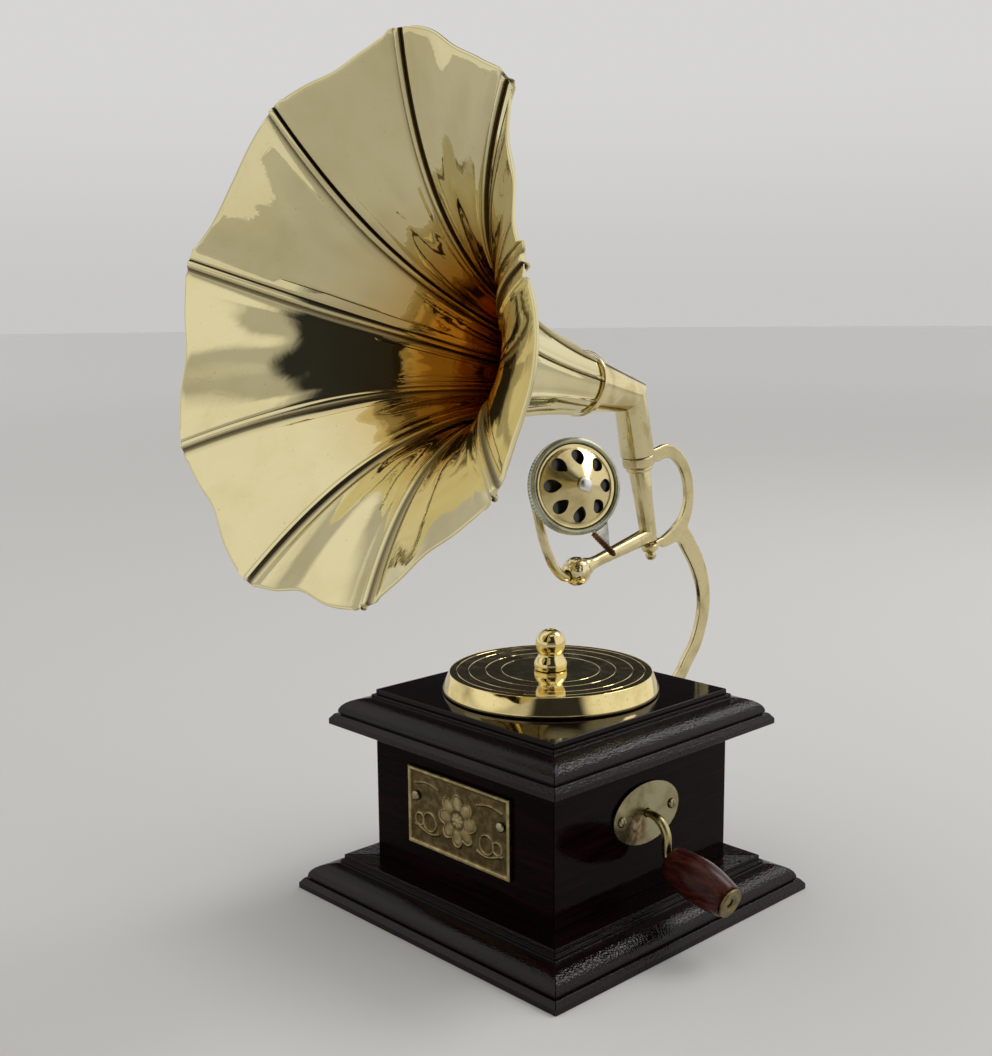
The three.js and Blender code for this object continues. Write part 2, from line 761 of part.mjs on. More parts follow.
// One tooth of the crown wheel: it hangs from the plate and grows wider outwards.
function crownTooth() {
  const inner = crownPitchRadius - gearFace / 2;
  const outer = crownPitchRadius + gearFace / 2;
  const half = (toothPitch * toothThicknessShare) / 2 / crownPitchRadius;
  const row = (radius, level, share) => [-1, 1].map((s) => {
    const across = s * half * share * radius;
    return new THREE.Vector3(Math.sqrt(radius * radius - across * across), across, level);
  });
  const tipLevel = pitchLevel - toothHeight;
  const rootLevel = pitchLevel + toothRoot + crownPlate / 2;
  const low = [row(inner, tipLevel, toothTipShare), row(outer, tipLevel, toothTipShare)];
  const high = [row(inner, rootLevel, 1), row(outer, rootLevel, 1)];
  return sheet(low, high);
}

function crownWheel() {
  const low = pitchLevel + toothRoot;
  const high = low + crownPlate;
  const bore = spindleRadius + seat;
  const outer = crownPitchRadius + gearFace / 2;
  const disc = turnedRing([
    [bore, low],
    [outer, low],
    [outer, high],
    [crownHubRadius, high],
    [crownHubRadius, high + crownHubHeight],
    [bore, high + crownHubHeight],
  ], fineSides);
  const teeth = Array.from({ length: crownTeeth }, (_, i) => {
    const turn = (2 * Math.PI * (i + 0.5)) / crownTeeth;
    return crownTooth().rotateZ(turn);
  });
  return join([disc, ...teeth]);
}

// Turntable

function platter() {
  const bore = spindleRadius + seat;
  const skinLevel = platterTop - platterSkin;
  const hubFoot = cabinetTop + bushFlange + 2 * seat;
  const inner = platterRadius - platterWall;
  const grooves = grooveRadii.slice().reverse().flatMap((radius) => [
    [radius + grooveWidth / 2, platterTop],
    [radius, platterTop - grooveDepth],
    [radius - grooveWidth / 2, platterTop],
  ]);
  return turnedRing([
    [bore, hubFoot],
    [platterHubRadius, hubFoot],
    [platterHubRadius, skinLevel],
    [inner, skinLevel],
    [inner, platterBottom],
    [platterRadius, platterBottom],
    [platterRadius, platterBottom + platterLip],
    [platterRimRadius, platterTop],
    ...grooves,
    [bore, platterTop],
  ], fineSides);
}

function knob() {
  const foot = platterTop + seat;
  const threadTop = foot + spindleThread + seat;
  const bore = spindleRadius + seat;
  const ballLevel = foot + knobBallLevel;
  const ballFrom = -THREE.MathUtils.radToDeg(Math.acos(knobWaistRadius / knobBallRadius));
  const ballTo = THREE.MathUtils.radToDeg(Math.acos(knobTopFlatRadius / knobBallRadius));
  const ball = arc(0, ballLevel, knobBallRadius, knobBallRadius, ballFrom, ballTo, 7);
  const flare = arc(knobWaistRadius, foot + knobFlareLevel, knobFlareRadius - knobWaistRadius,
    knobWaistLevel - knobFlareLevel, 0, 75, 4);
  return turned([
    [0, threadTop],
    [bore, threadTop],
    [bore, foot],
    [knobFootRadius, foot],
    [knobFootRadius, foot + knobFootHeight],
    ...flare,
    ...ball,
    [0, ball[ball.length - 1][1]],
  ], roundSides);
}

function addTurntable(parent) {
  const bushLow = cabinetTop - bushLength;
  const bush = turnedRing([
    [spindleRadius + runningGap, bushLow],
    [bushRadius, bushLow],
    [bushRadius, cabinetTop + seat],
    [bushFlangeRadius, cabinetTop + seat],
    [bushFlangeRadius, cabinetTop + bushFlange],
    [spindleRadius + runningGap, cabinetTop + bushFlange],
  ], roundSides);
  piece(parent, "spindle_bush", bush, "brightBrass");
  piece(parent, "platter", platter(), "brightBrass");
  piece(parent, "turntable_knob", knob(), "brightBrass");
  const spindleFoot = pitchLevel + toothRoot;
  const spindleHead = platterTop + seat + spindleThread;
  piece(parent, "spindle", bar(spindleRadius, spindleRadius, spindleFoot, spindleHead, roundSides), "steel");
  const collarHigh = bushLow - runningGap;
  const collar = sleeve(collarRadius, spindleRadius + seat, collarHigh - collarLength, collarHigh, roundSides);
  piece(parent, "spindle_collar", collar, "steel");
  piece(parent, "crown_wheel", crownWheel(), "brightBrass");
}

// Bracket: three flat bands, a collar ring, a pivot eye and a foot, cast in one

const swivelFrame = new THREE.Matrix4().makeRotationX(swivelLean).setPosition(0, swivelY, swivelZ);

// A band in the cabinet's middle plane along [distance back, height] places, tapering from end to end.
function band(places, startWidth, endWidth) {
  const path = new THREE.CatmullRomCurve3(places.map(([y, z]) => new THREE.Vector3(y, z, 0)), false, "centripetal");
  const steps = places.length * 2;
  const left = [];
  const right = [];
  for (let i = 0; i <= steps; i++) {
    const share = i / steps;
    const at = path.getPointAt(share);
    const along = path.getTangentAt(share);
    const half = (startWidth + (endWidth - startWidth) * share) / 2;
    left.push([at.x - along.y * half, at.y + along.x * half]);
    right.unshift([at.x + along.y * half, at.y - along.x * half]);
  }
  const outline = [...left, ...right];
  const upright = new THREE.Matrix4().makeBasis(
    new THREE.Vector3(0, 1, 0),
    new THREE.Vector3(0, 0, 1),
    new THREE.Vector3(1, 0, 0),
  );
  return inFrame(flat(outline, -bracketThickness / 2, bracketThickness / 2), upright);
}

function bracketPlace([reachShare, levelShare]) {
  return [bodyHalf + reachShare * bracketReach, levelShare * swivelZ];
}

// A place in the leaning frame of the swivel, as [distance back, height].
function swivelPlace(y, z) {
  const at = new THREE.Vector3(0, y, z).applyMatrix4(swivelFrame);
  return [at.y, at.z];
}

function addBracket(parent) {
  const eyeTop = -armDrop - pivotEyeDrop;
  const eyeLow = eyeTop - pivotEyeThickness;
  const ring = sleeve(collarRingRadius, collarRingBore, -collarRingHeight / 2, collarRingHeight / 2, roundSides);
  const eye = sleeve(pivotEyeRadius, pivotPinRadius + runningGap, eyeLow, eyeTop);
  const collarEdge = swivelPlace((collarRingRadius + collarRingBore) / 2, 0);
  const eyeLevel = (eyeTop + eyeLow) / 2;
  const eyeEdge = swivelPlace((pivotEyeRadius + pivotPinRadius + runningGap) / 2, eyeLevel);
  const eyeRoot = swivelPlace(2 * pivotEyeRadius, eyeLevel);
  const loop = band([collarEdge, ...loopShares.map(bracketPlace)], collarRingHeight, loopWidth);
  const stem = band(stemShares.map(bracketPlace), stemWidth, stemFootWidth);
  const prong = band([...prongShares.map(bracketPlace), eyeRoot, eyeEdge], prongWidth, pivotEyeThickness);
  const footY = bodyHalf + seat;
  const foot = block(
    new THREE.Vector3(-bracketFootWidth / 2, footY, bracketFootLevel - bracketFootHeight / 2),
    new THREE.Vector3(bracketFootWidth / 2, footY + bracketFootThickness, bracketFootLevel + bracketFootHeight / 2),
  );
  const cast = join([loop, stem, prong, inFrame(ring, swivelFrame), inFrame(eye, swivelFrame), foot]);
  const collarBore = bar(collarRingBore, collarRingBore, -collarRingHeight, collarRingHeight, roundSides);
  const eyeBore = bar(pivotPinRadius + runningGap, pivotPinRadius + runningGap, eyeLow - overrun, eyeTop + overrun);
  const wallFace = block(
    new THREE.Vector3(-bracketFootWidth, 0, 0),
    new THREE.Vector3(bracketFootWidth, footY, swivelZ / 2),
  );
  const screwHoles = [-1, 1].map((s) => outOfBack(
    bar(screwShankRadius + seat, screwShankRadius + seat, bodyHalf - overrun, bodyHalf + bracketReach),
    0,
    bracketScrewLevel + (s * bracketScrewSpacing) / 2,
  ));
  const tools = [inFrame(collarBore, swivelFrame), inFrame(eyeBore, swivelFrame), wallFace, ...screwHoles];
  piece(parent, "bracket", cut(cast, tools), "castBrass");
  [["lower", -1], ["upper", 1]].forEach(([end, s]) => {
    const level = bracketScrewLevel + (s * bracketScrewSpacing) / 2;
    const made = screw(footY + bracketFootThickness + seat, bracketFootThickness + wallThickness);
    piece(parent, `bracket_screw_${end}`, outOfBack(made, 0, level), "castBrass");
  });
}

// Horn. Its own frame has the elbow at the origin and the horn's axis along +Z.

const bellStart = neckLength;

function bellRadius(along) {
  const share = along / hornLength;
  return throatRadius + ((rimRadius - throatRadius) * (Math.exp(flareRate * share) - 1)) / (Math.exp(flareRate) - 1);
}

function bellSlope(along) {
  const share = along / hornLength;
  const steepness = (flareRate * Math.exp(flareRate * share)) / (Math.exp(flareRate) - 1);
  return ((rimRadius - throatRadius) * steepness) / hornLength;
}

function seamAngle(i) {
  const turns = Math.floor(i / petalCount);
  const seam = i % petalCount;
  const degrees = firstSeamDegrees + seamDriftDegrees[seam] + (360 * seam) / petalCount + 360 * turns;
  return THREE.MathUtils.degToRad(degrees);
}

// A point of one petal: share across from its first seam, distance along the horn, and height off the sheet.
function petalPoint(petal, across, along, offset, edgeShift = 0) {
  const next = (petal + 1) % petalCount;
  const seamReach = seamReachShares[petal] * (1 - across) + seamReachShares[next] * across;
  const wave = (1 + Math.cos(2 * Math.PI * across)) / 2;
  const reach = middleReachShares[petal] + (seamReach - middleReachShares[petal]) * wave;
  const growth = Math.pow(along / hornLength, reachGrowth);
  const slope = bellSlope(along);
  const steep = Math.hypot(1, slope);
  const radius = bellRadius(along) * (1 + (reach - 1) * growth) + offset / steep;
  const angle = seamAngle(petal) * (1 - across) + seamAngle(petal + 1) * across + edgeShift / radius;
  return new THREE.Vector3(
    radius * Math.cos(angle),
    radius * Math.sin(angle),
    bellStart + seat + along - (offset * slope) / steep,
  );
}

// One petal: a sheet between two seams, with a folded ridge standing out along its last edge.
function petal(i) {
  const inner = [];
  const outer = [];
  for (let row = 0; row < petalRows; row++) {
    const along = (hornLength * row) / (petalRows - 1);
    const ridge = seamRidgeHeight * Math.min(1, along / seamRidgeRise);
    const innerRow = [];
    const outerRow = [];
    for (let column = 0; column <= petalColumns; column++) {
      const across = column / petalColumns;
      const shift = (seamGap / 2) * (1 - 2 * across);
      if (column === petalColumns) {
        const foot = shift - seamRidgeWidth - seamRidgeFoot;
        innerRow.push(petalPoint(i, across, along, 0, foot), petalPoint(i, across, along, 0, shift - seamRidgeWidth));
        outerRow.push(
          petalPoint(i, across, along, sheetThickness, foot),
          petalPoint(i, across, along, sheetThickness + ridge, shift - seamRidgeWidth),
        );
      }
      innerRow.push(petalPoint(i, across, along, 0, shift));
      outerRow.push(petalPoint(i, across, along, sheetThickness + (column === petalColumns ? ridge : 0), shift));
    }
    inner.push(innerRow);
    outer.push(outerRow);
  }
  return sheet(inner, outer);
}

// A large block that fills the side of a plane through the origin, turned about X.
function halfSpace(degrees, gap) {
  const size = 2 * (rimRadius + hornLength);
  const filler = new THREE.BoxGeometry(size, size, size).translate(0, 0, size / 2 + gap);
  return filler.rotateX(THREE.MathUtils.degToRad(degrees));
}

function addHorn(swivel) {
  const turnDegrees = 90 - hornPitchDegrees - swivelLeanDegrees;
  const horn = group(swivel, 0, 0, elbowHeight);
  horn.rotation.x = THREE.MathUtils.degToRad(turnDegrees);
  for (let i = 0; i < petalCount; i++) piece(horn, `horn_petal_${i + 1}`, petal(i), "hornBrass");

  // The ring goes round the roots of the petals and of their ridges.
  const ringHalf = throatRingLength / 2;
  const ridge = (seamRidgeHeight * ringHalf) / seamRidgeRise;
  const ringBore = bellRadius(ringHalf) + sheetThickness + ridge + seat;
  const throatRing = sleeve(
    ringBore + throatRingThickness,
    ringBore,
    bellStart - ringHalf,
    bellStart + ringHalf,
    fineSides,
  );
  piece(horn, "throat_ring", throatRing, "hornBrass");

  const reachBack = -mitreRun * elbowNeckRadius;
  const neckSlope = (throatRadius + sheetThickness - elbowNeckRadius) / neckLength;
  const backRadius = elbowNeckRadius + neckSlope * reachBack;
  const neckEnd = bellStart - seat;
  const neck = turnedRing([
    [backRadius - pipeWall, reachBack],
    [backRadius, reachBack],
    [throatRadius + sheetThickness, neckEnd],
    [throatRadius, neckEnd],
  ], roundSides);
  piece(horn, "horn_neck", cut(neck, [halfSpace(180 - turnDegrees / 2, -glueLine)]), "hornBrass");

  const footLevel = collarRingHeight / 2 + seat - elbowHeight;
  const tube = turnedRing([
    [spigotRadius - pipeWall, footLevel - seat - hornSpigot],
    [spigotRadius, footLevel - seat - hornSpigot],
    [spigotRadius, footLevel],
    [downTubeFootRadius, footLevel],
    [downTubeTopRadius, mitreRun * downTubeTopRadius],
    [downTubeTopRadius - pipeWall, mitreRun * downTubeTopRadius],
    [downTubeFootRadius - pipeWall, footLevel + pipeWall],
    [spigotRadius - pipeWall, footLevel + pipeWall],
  ], roundSides);
  const down = group(swivel, 0, 0, elbowHeight);
  piece(down, "horn_down_tube", cut(tube, [halfSpace(turnDegrees / 2, -glueLine)]), "hornBrass");
}

// Tone arm. It hangs from the collar and turns about the swivel axis.

function addToneArm(swivel) {
  const top = -collarRingHeight / 2 - seat;
  const legTop = top - armRingHeight - seat;
  const run = mitreRun * armElbowRadius;
  const leg = turned([
    [0, -armDrop - run],
    [armElbowRadius, -armDrop - run],
    [armElbowRadius, -armDrop],
    [armTopRadius, legTop],
    [spigotRadius, legTop],
    [spigotRadius, -collarRingHeight / 2 + armSpigot],
    [0, -collarRingHeight / 2 + armSpigot],
  ], roundSides);
  const reach = turned([
    [0, -run],
    [armElbowRadius, -run],
    [armElbowRadius, 0],
    [armTipRadius, armReach - ballRadius],
    [armTipRadius, armReach - ballRadius + ballSocketDepth],
    [0, armReach - ballRadius + ballSocketDepth],
  ], roundSides).rotateX(Math.PI / 2).translate(0, 0, -armDrop);
  const below = halfSpace(180 - armMitreDegrees, mitreLap).translate(0, 0, -armDrop);
  const above = halfSpace(-armMitreDegrees, mitreLap).translate(0, 0, -armDrop);
  const bent = join([cut(leg, [below]), cut(reach, [above])]);
  const bores = [
    bar(armBore, armBore, -armDrop - armBore, overrun),
    bar(armBore, armBore, -armBore, armReach).rotateX(Math.PI / 2).translate(0, 0, -armDrop),
  ];
  const pinHole = bar(pivotPinRadius + seat, pivotPinRadius + seat, -armDrop - armReach, -armDrop - armElbowRadius);
  piece(swivel, "tone_arm", cut(bent, [...bores, pinHole]), "castBrass");
  const ring = sleeve(armRingRadius, spigotRadius + seat, top - armRingHeight, top, roundSides);
  piece(swivel, "tone_arm_ring", ring, "castBrass");

  const socket = armTipRadius + seat;
  const from = THREE.MathUtils.radToDeg(Math.asin(socket / ballRadius));
  const ball = turnedRing(arc(0, 0, ballRadius, ballRadius, from - 90, 90 - from, 9), roundSides);
  piece(swivel, "arm_ball", ball.rotateX(Math.PI / 2).translate(0, -armReach, -armDrop), "brightBrass");

  const eyeLow = -armDrop - pivotEyeDrop - pivotEyeThickness;
  const nutTop = eyeLow - seat;
  const nutMiddle = nutTop - pivotNutRadius * pivotNutSeatShare;
  const nutSeatDegrees = THREE.MathUtils.radToDeg(Math.asin(pivotNutSeatShare));
  const pinTop = -armDrop - armElbowRadius;
  const nut = arc(0, nutMiddle, pivotNutRadius, pivotNutRadius, -90, nutSeatDegrees, 2 * domeSteps);
  const pivot = turned([
    [0, nutMiddle - pivotNutRadius],
    ...nut.slice(1),
    [pivotPinRadius, nutTop],
    [pivotPinRadius, pinTop],
    [0, pinTop],
  ], smallSides);
  piece(swivel, "pivot_screw", pivot, "castBrass");
}

// Sound box. Its own frame has the cover along +Z and the lug and needle below.

function boxAxis() {
  const turn = THREE.MathUtils.degToRad(boxTurnDegrees);
  const tilt = THREE.MathUtils.degToRad(boxTiltDegrees);
  return new THREE.Vector3(Math.cos(turn) * Math.cos(tilt), -Math.sin(turn) * Math.cos(tilt), Math.sin(tilt));
}

function coverProfile() {
  const shoulder = coverSeatLevel + coverThickness;
  const apex = shoulder + coverHeight;
  const hole = rivetShankRadius + seat;
  return [
    [hole, apex - coverThickness],
    [coverRadius - coverFlange, coverSeatLevel],
    [coverRadius, coverSeatLevel],
    [coverRadius, shoulder],
    [coverRadius - coverFlange, shoulder],
    [rivetRadius, apex],
    [hole, apex],
  ];
}

function cover() {
  const hole = bar(coverHoleRadius, coverHoleRadius, 0, coverHeight + overrun + coverSeatLevel);
  const holes = Array.from({ length: coverHoles }, (_, i) => {
    const turn = THREE.MathUtils.degToRad(coverFirstHoleDegrees) + (2 * Math.PI * i) / coverHoles;
    return hole.clone().scale(coverHoleStretch, 1, 1).translate(coverHoleCircle, 0, 0).rotateZ(turn);
  });
  return cut(turnedRing(coverProfile(), roundSides), holes);
}

// The needle's frame has its point at the origin and its direction along +Z.
function needleFrame() {
  const lug = THREE.MathUtils.degToRad(lugDegrees);
  const lean = THREE.MathUtils.degToRad(needleDegrees);
  const reach = boxRadius + lugLength;
  return new THREE.Matrix4()
    .makeTranslation(reach * Math.cos(lug), reach * Math.sin(lug), 0)
    .multiply(new THREE.Matrix4().makeRotationZ(lean - Math.PI / 2))
    .multiply(new THREE.Matrix4().makeRotationX(-Math.PI / 2));
}

// A fin on the rim that ends in a small chuck; the needle lies in a groove along the fin's lower edge.
function needleLug() {
  const root = boxRadius + seat;
  const chuckLow = -needleOverhang - chuckLength;
  const middle = new THREE.Vector3(0, 0, chuckLow + chuckLength / 2).applyMatrix4(needleFrame());
  const outline = [...arc(0, 0, root, root, lugFirstDegrees, lugLastDegrees, 3), [middle.x, middle.y]];
  const fin = closed(flat(outline, -lugThickness / 2, lugThickness / 2));
  const chuck = bar(chuckRadius, chuckRadius, chuckLow, -needleOverhang);
  const bore = bar(needleRadius + seat, needleRadius + seat, -needleLength - overrun, overrun - needleOverhang);
  return cut(join([fin, inFrame(chuck, needleFrame())]), [inFrame(bore, needleFrame())]);
}

function needle() {
  const made = turned([
    [0, -needleLength],
    [needleRadius, -needleLength],
    [needleRadius, -needleOverhang],
    [needlePointRadius, 0],
    [0, 0],
  ], smallSides);
  return inFrame(made, needleFrame());
}

function addSoundBox(swivel) {
  const box = group(swivel, boxX, boxY, boxZ);
  const axis = boxAxis();
  const right = new THREE.Vector3(0, 0, 1).cross(axis).normalize();
  const up = new THREE.Vector3().crossVectors(axis, right);
  box.setRotationFromMatrix(new THREE.Matrix4().makeBasis(right, up, axis));

  const rim = turnedRing([
    [boxRimInner, -boxRimBack],
    [boxRadius - boxRimRound, -boxRimBack],
    [boxRadius, boxRimRound - boxRimBack],
    [boxRadius, boxRimFront - boxRimRound],
    [boxRadius - boxRimRound, boxRimFront],
    [boxRimInner + boxRimRound, boxRimFront],
    [boxRimInner, boxRimFront - boxRimRound],
  ], fineSides);
  piece(box, "sound_box_rim", rim, "dullMetal");
  piece(box, "sound_box_cover", cover(), "brightBrass");

  const diaphragmTop = coverSeatLevel - seat;
  const diaphragmLow = diaphragmTop - diaphragmThickness;
  const hole = rivetShankRadius + seat;
  piece(box, "diaphragm", sleeve(coverRadius, hole, diaphragmLow, diaphragmTop, roundSides), "mica");

  const apex = coverSeatLevel + coverThickness + coverHeight;
  const rivet = turned([
    [0, diaphragmLow - rivetHead / 2],
    [rivetShankRadius, diaphragmLow - rivetHead / 2],
    [rivetShankRadius, apex + seat],
    [rivetRadius, apex + seat],
    [rivetRadius, apex + seat + rivetHead / 2],
    ...arc(0, apex + seat + rivetHead / 2, rivetRadius, rivetHead / 2, 20, 90, 3),
  ], smallSides);
  piece(box, "centre_rivet", rivet, "silver");

  const socket = crookRadius + seat;
  const back = turnedRing([
    [socket, boxBackFloor + backWall],
    [socket, boxBossEnd],
    [backBossRadius, boxBossEnd],
    [backBossRadius, boxBackFloor],
    [boxRimInner - backDepth, boxBackFloor],
    [boxRadius - boxRimRound, boxBackTop - backWall],
    [boxRadius - boxRimRound, boxBackTop],
    [boxRimInner, boxBackTop],
    [boxRimInner - backDepth, boxBackFloor + backWall],
  ], roundSides);
  piece(box, "sound_box_back", back, "castBrass");

  piece(box, "needle_lug", needleLug(), "silver");
  piece(box, "needle", needle(), "bronze");
}

// The crook leaves the ball towards the front, rises behind the box and turns into the boss on its back.
function addCrook(swivel) {
  const axis = boxAxis();
  const centre = new THREE.Vector3(boxX, boxY, boxZ);
  const back = (distance) => centre.clone().addScaledVector(axis, -distance);
  const ballFront = -armReach - ballRadius;
  const bend = crookShares.map((shares) => new THREE.Vector3(...shares).multiplyScalar(boxRadius).add(centre));
  const route = [
    new THREE.Vector3(0, ballFront + ballSocketDepth, -armDrop),
    new THREE.Vector3(0, ballFront - crookRadius / 2, -armDrop),
    ...bend,
    back(crookStub - boxBossEnd),
    back(seat - boxBossEnd),
    back(-boxBackFloor),
  ];
  piece(swivel, "crook", rod(route, crookRadius, crookSteps), "castBrass");
}

// Assembly

const gramophone = new THREE.Group();
addCabinet(gramophone);
addNameplate(gramophone);
addCrankPlate(gramophone);
addCrank(gramophone);
addGrip(gramophone);
addTurntable(gramophone);
addBracket(gramophone);

const swivel = group(gramophone, 0, swivelY, swivelZ);
swivel.rotation.x = swivelLean;
addHorn(swivel);
addToneArm(swivel);
addSoundBox(swivel);
addCrook(swivel);

export default gramophone;
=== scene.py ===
# A miniature display gramophone: fine brass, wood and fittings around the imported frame, with a pale
# studio and a camera at the photograph's place. Sizes are in millimetres and become metres as each
# mesh is made. The points of an outline are (across, up) or (radius, height).
import json
import math

import bmesh
import bpy
from mathutils import Matrix, Vector, noise


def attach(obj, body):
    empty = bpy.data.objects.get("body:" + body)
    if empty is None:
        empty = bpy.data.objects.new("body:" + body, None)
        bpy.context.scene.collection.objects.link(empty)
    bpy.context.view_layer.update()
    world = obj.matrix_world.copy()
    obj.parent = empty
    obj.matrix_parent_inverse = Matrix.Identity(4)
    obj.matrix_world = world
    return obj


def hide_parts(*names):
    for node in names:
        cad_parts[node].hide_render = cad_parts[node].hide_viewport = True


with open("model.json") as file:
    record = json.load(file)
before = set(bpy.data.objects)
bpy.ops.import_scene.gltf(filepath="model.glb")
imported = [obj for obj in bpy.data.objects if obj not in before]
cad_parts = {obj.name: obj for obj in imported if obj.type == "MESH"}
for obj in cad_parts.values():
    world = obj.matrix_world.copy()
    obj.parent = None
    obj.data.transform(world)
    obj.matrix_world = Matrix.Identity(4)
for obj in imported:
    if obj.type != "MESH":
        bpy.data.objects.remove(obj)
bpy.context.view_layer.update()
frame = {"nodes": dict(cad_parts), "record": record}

MM = 0.001
STEADY = Matrix.Identity(4)
SMOOTH_DEGREES = 38
STRAIGHT_DEGREES = 165
FLAT_DEGREES = 0.5
WELD_REACH = 0.004
TWIN_REACH = 0.001

# Places and sizes that the pieces share with the frame
SEAT = 0.15
RUNNING_GAP = 0.3
BODY_HALF = 34.5
PLATTER_BOTTOM = 58.9
PLATTER_HEIGHT = 5.3
SPINDLE_BORE = 1.9
ROD_RADIUS = 1.05
CRANK_LEVEL = 32
SWIVEL_DEGREES = 12
SWIVEL_PLACE = (0, 36.45, 119.3)
ELBOW_HEIGHT = 19.1
HORN_TURN_DEGREES = 65.4
BRACKET_REACH = 37
BOX_PLACE = (7, -34.25, 3.6)
BOX_TURN_DEGREES = 19.6
BOX_TILT_DEGREES = 14.3
BOX_RADIUS = 13.2

swivel_place = Matrix.Translation(SWIVEL_PLACE) @ Matrix.Rotation(math.radians(SWIVEL_DEGREES), 4, "X")
elbow_place = swivel_place @ Matrix.Translation((0, 0, ELBOW_HEIGHT))
horn_place = elbow_place @ Matrix.Rotation(math.radians(HORN_TURN_DEGREES), 4, "X")


def box_axis():
    turn, tilt = math.radians(BOX_TURN_DEGREES), math.radians(BOX_TILT_DEGREES)
    return Vector((math.cos(turn) * math.cos(tilt), -math.sin(turn) * math.cos(tilt), math.sin(tilt)))


def box_frame():
    """The sound box's own frame: its middle at the origin, its cover facing along +Z."""
    axis = box_axis()
    right = Vector((0, 0, 1)).cross(axis).normalized()
    up = axis.cross(right)
    basis = Matrix((right, up, axis)).transposed().to_4x4()
    return swivel_place @ Matrix.Translation(BOX_PLACE) @ basis


# Materials, with their colours as linear red, green and blue

WOOD_SHADOW = (0.003, 0.0012, 0.0012)
WOOD_FIGURE = (0.0115, 0.0028, 0.0024)
WOOD_PORE = (0.003, 0.0018, 0.0018)
GRIP_SHADOW = (0.028, 0.006, 0.0042)
GRIP_FIGURE = (0.08, 0.017, 0.0105)
GRIP_SCRATCH = (0.11, 0.05, 0.04)
SHEET_PALE = (0.73, 0.65, 0.375)
SHEET_CLOUD = (0.67, 0.585, 0.315)
SHEET_SPECK = (0.25, 0.18, 0.08)
# Painted shade: the seams' grooves and the soft strips beside them darken towards this colour
SEAM_PAINTED_SHADE = (0.05, 0.026, 0.01)
# Painted inter-reflection and shade: amber, then brown, down the inside of the throat
THROAT_PAINTED_AMBER = (0.54, 0.32, 0.075)
THROAT_PAINTED_BROWN = (0.3, 0.115, 0.04)
BALL_BRIGHT = (0.8, 0.7, 0.42)
BALL_DULL = (0.55, 0.45, 0.22)
RELIEF_LOW = [(0.085, 0.06, 0.024), (0.165, 0.12, 0.048)]
RELIEF_HIGH = [(0.34, 0.265, 0.12), (0.5, 0.405, 0.2)]
PLATE_BRIGHT = (0.38, 0.34, 0.2)
PLATE_DULL = (0.22, 0.18, 0.09)
# A brown patch on the crank plate: its colour, its middle, and the distances over which it fades
PLATE_BLOTCH = (0.14, 0.06, 0.024)
BLOTCH_SPOT = (BODY_HALF, -4.6, CRANK_LEVEL - 3.4)
BLOTCH_REACH = (2.4, 5.6)
MICA_DARK = (0.004, 0.004, 0.004)
MICA_FLAKE = (0.012, 0.011, 0.009)
# Axis of the grain, refraction and roughness of the coat, and depth of its pebbles
LACQUERS = {
    "moulding_x": ("x", 1.31, 0.14, 0.05),
    "moulding_y": ("y", 1.3, 0.1, 0.1),
    "panel_x": ("x", 1.1, 0.07, 0.006),
    "panel_y": ("y", 1.15, 0.07, 0.006),
    "board_x": ("x", 1.24, 0.06, 0.005),
}
# Bright and dull colour, least and most roughness, size and depth of the grain, and depth of any waves
METALS = {
    "cast_brass": ((0.7, 0.6, 0.335), (0.5, 0.41, 0.2), 0.19, 0.32, 0.6, 0.006, 0.03),
    "pipe_brass": ((0.74, 0.64, 0.36), (0.52, 0.42, 0.2), 0.09, 0.18, 0.6, 0.003, 0.02),
    "rod_brass": ((0.47, 0.4, 0.2), (0.27, 0.2, 0.085), 0.24, 0.38, 0.5, 0.012, 0.03),
    "screw_brass": ((0.36, 0.32, 0.19), (0.22, 0.18, 0.09), 0.2, 0.34, 0.45, 0.006, 0.03),
    "bright_brass": ((0.82, 0.68, 0.33), (0.62, 0.49, 0.2), 0.035, 0.09, 0.7, 0.0015, 0.006),
    "cover_brass": ((0.72, 0.6, 0.31), (0.54, 0.43, 0.2), 0.15, 0.27, 0.5, 0.003, 0.01),
    "dull_metal": ((0.46, 0.47, 0.36), (0.24, 0.25, 0.185), 0.26, 0.42, 0.35, 0.02),
    "silver": ((0.84, 0.83, 0.79), (0.6, 0.58, 0.52), 0.24, 0.42, 0.5, 0.02),
    "worn_silver": ((0.56, 0.55, 0.51), (0.3, 0.29, 0.26), 0.24, 0.42, 0.5, 0.02),
    "bronze": ((0.21, 0.105, 0.038), (0.06, 0.03, 0.013), 0.28, 0.45, 0.45, 0.06),
    "steel": ((0.5, 0.5, 0.5), (0.3, 0.3, 0.31), 0.22, 0.36, 0.5, 0.004),
}


class Nodes:
    """A node tree, with short calls for what it holds."""

    def __init__(self, tree):
        self.tree = tree

    def node(self, kind, **settings):
        made = self.tree.nodes.new(kind)
        for key, value in settings.items():
            setattr(made, key, value)
        return made

    def wire(self, source, target):
        self.tree.links.new(source, target)

    def remap(self, source, low, high, to_low=0.0, to_high=1.0):
        made = self.node("ShaderNodeMapRange", interpolation_type="SMOOTHSTEP")
        for socket, value in zip(("From Min", "From Max", "To Min", "To Max"), (low, high, to_low, to_high)):
            made.inputs[socket].default_value = value
        self.wire(source, made.inputs["Value"])
        return made.outputs["Result"]

    def measure(self, operation, source, other=(0, 0, 0)):
        """One number from a vector and a fixed other one."""
        made = self.node("ShaderNodeVectorMath", operation=operation)
        self.wire(source, made.inputs[0])
        made.inputs[1].default_value = other
        return made.outputs["Value"]

    def mix(self, share, first, second):
        """A colour between two, which are colours or other mixes."""
        made = self.node("ShaderNodeMix", data_type="RGBA")
        self.wire(share, made.inputs[0])
        for socket, value in zip((made.inputs[6], made.inputs[7]), (first, second)):
            if isinstance(value, tuple):
                socket.default_value = (*value, 1)
            else:
                self.wire(value, socket)
        return made.outputs[2]


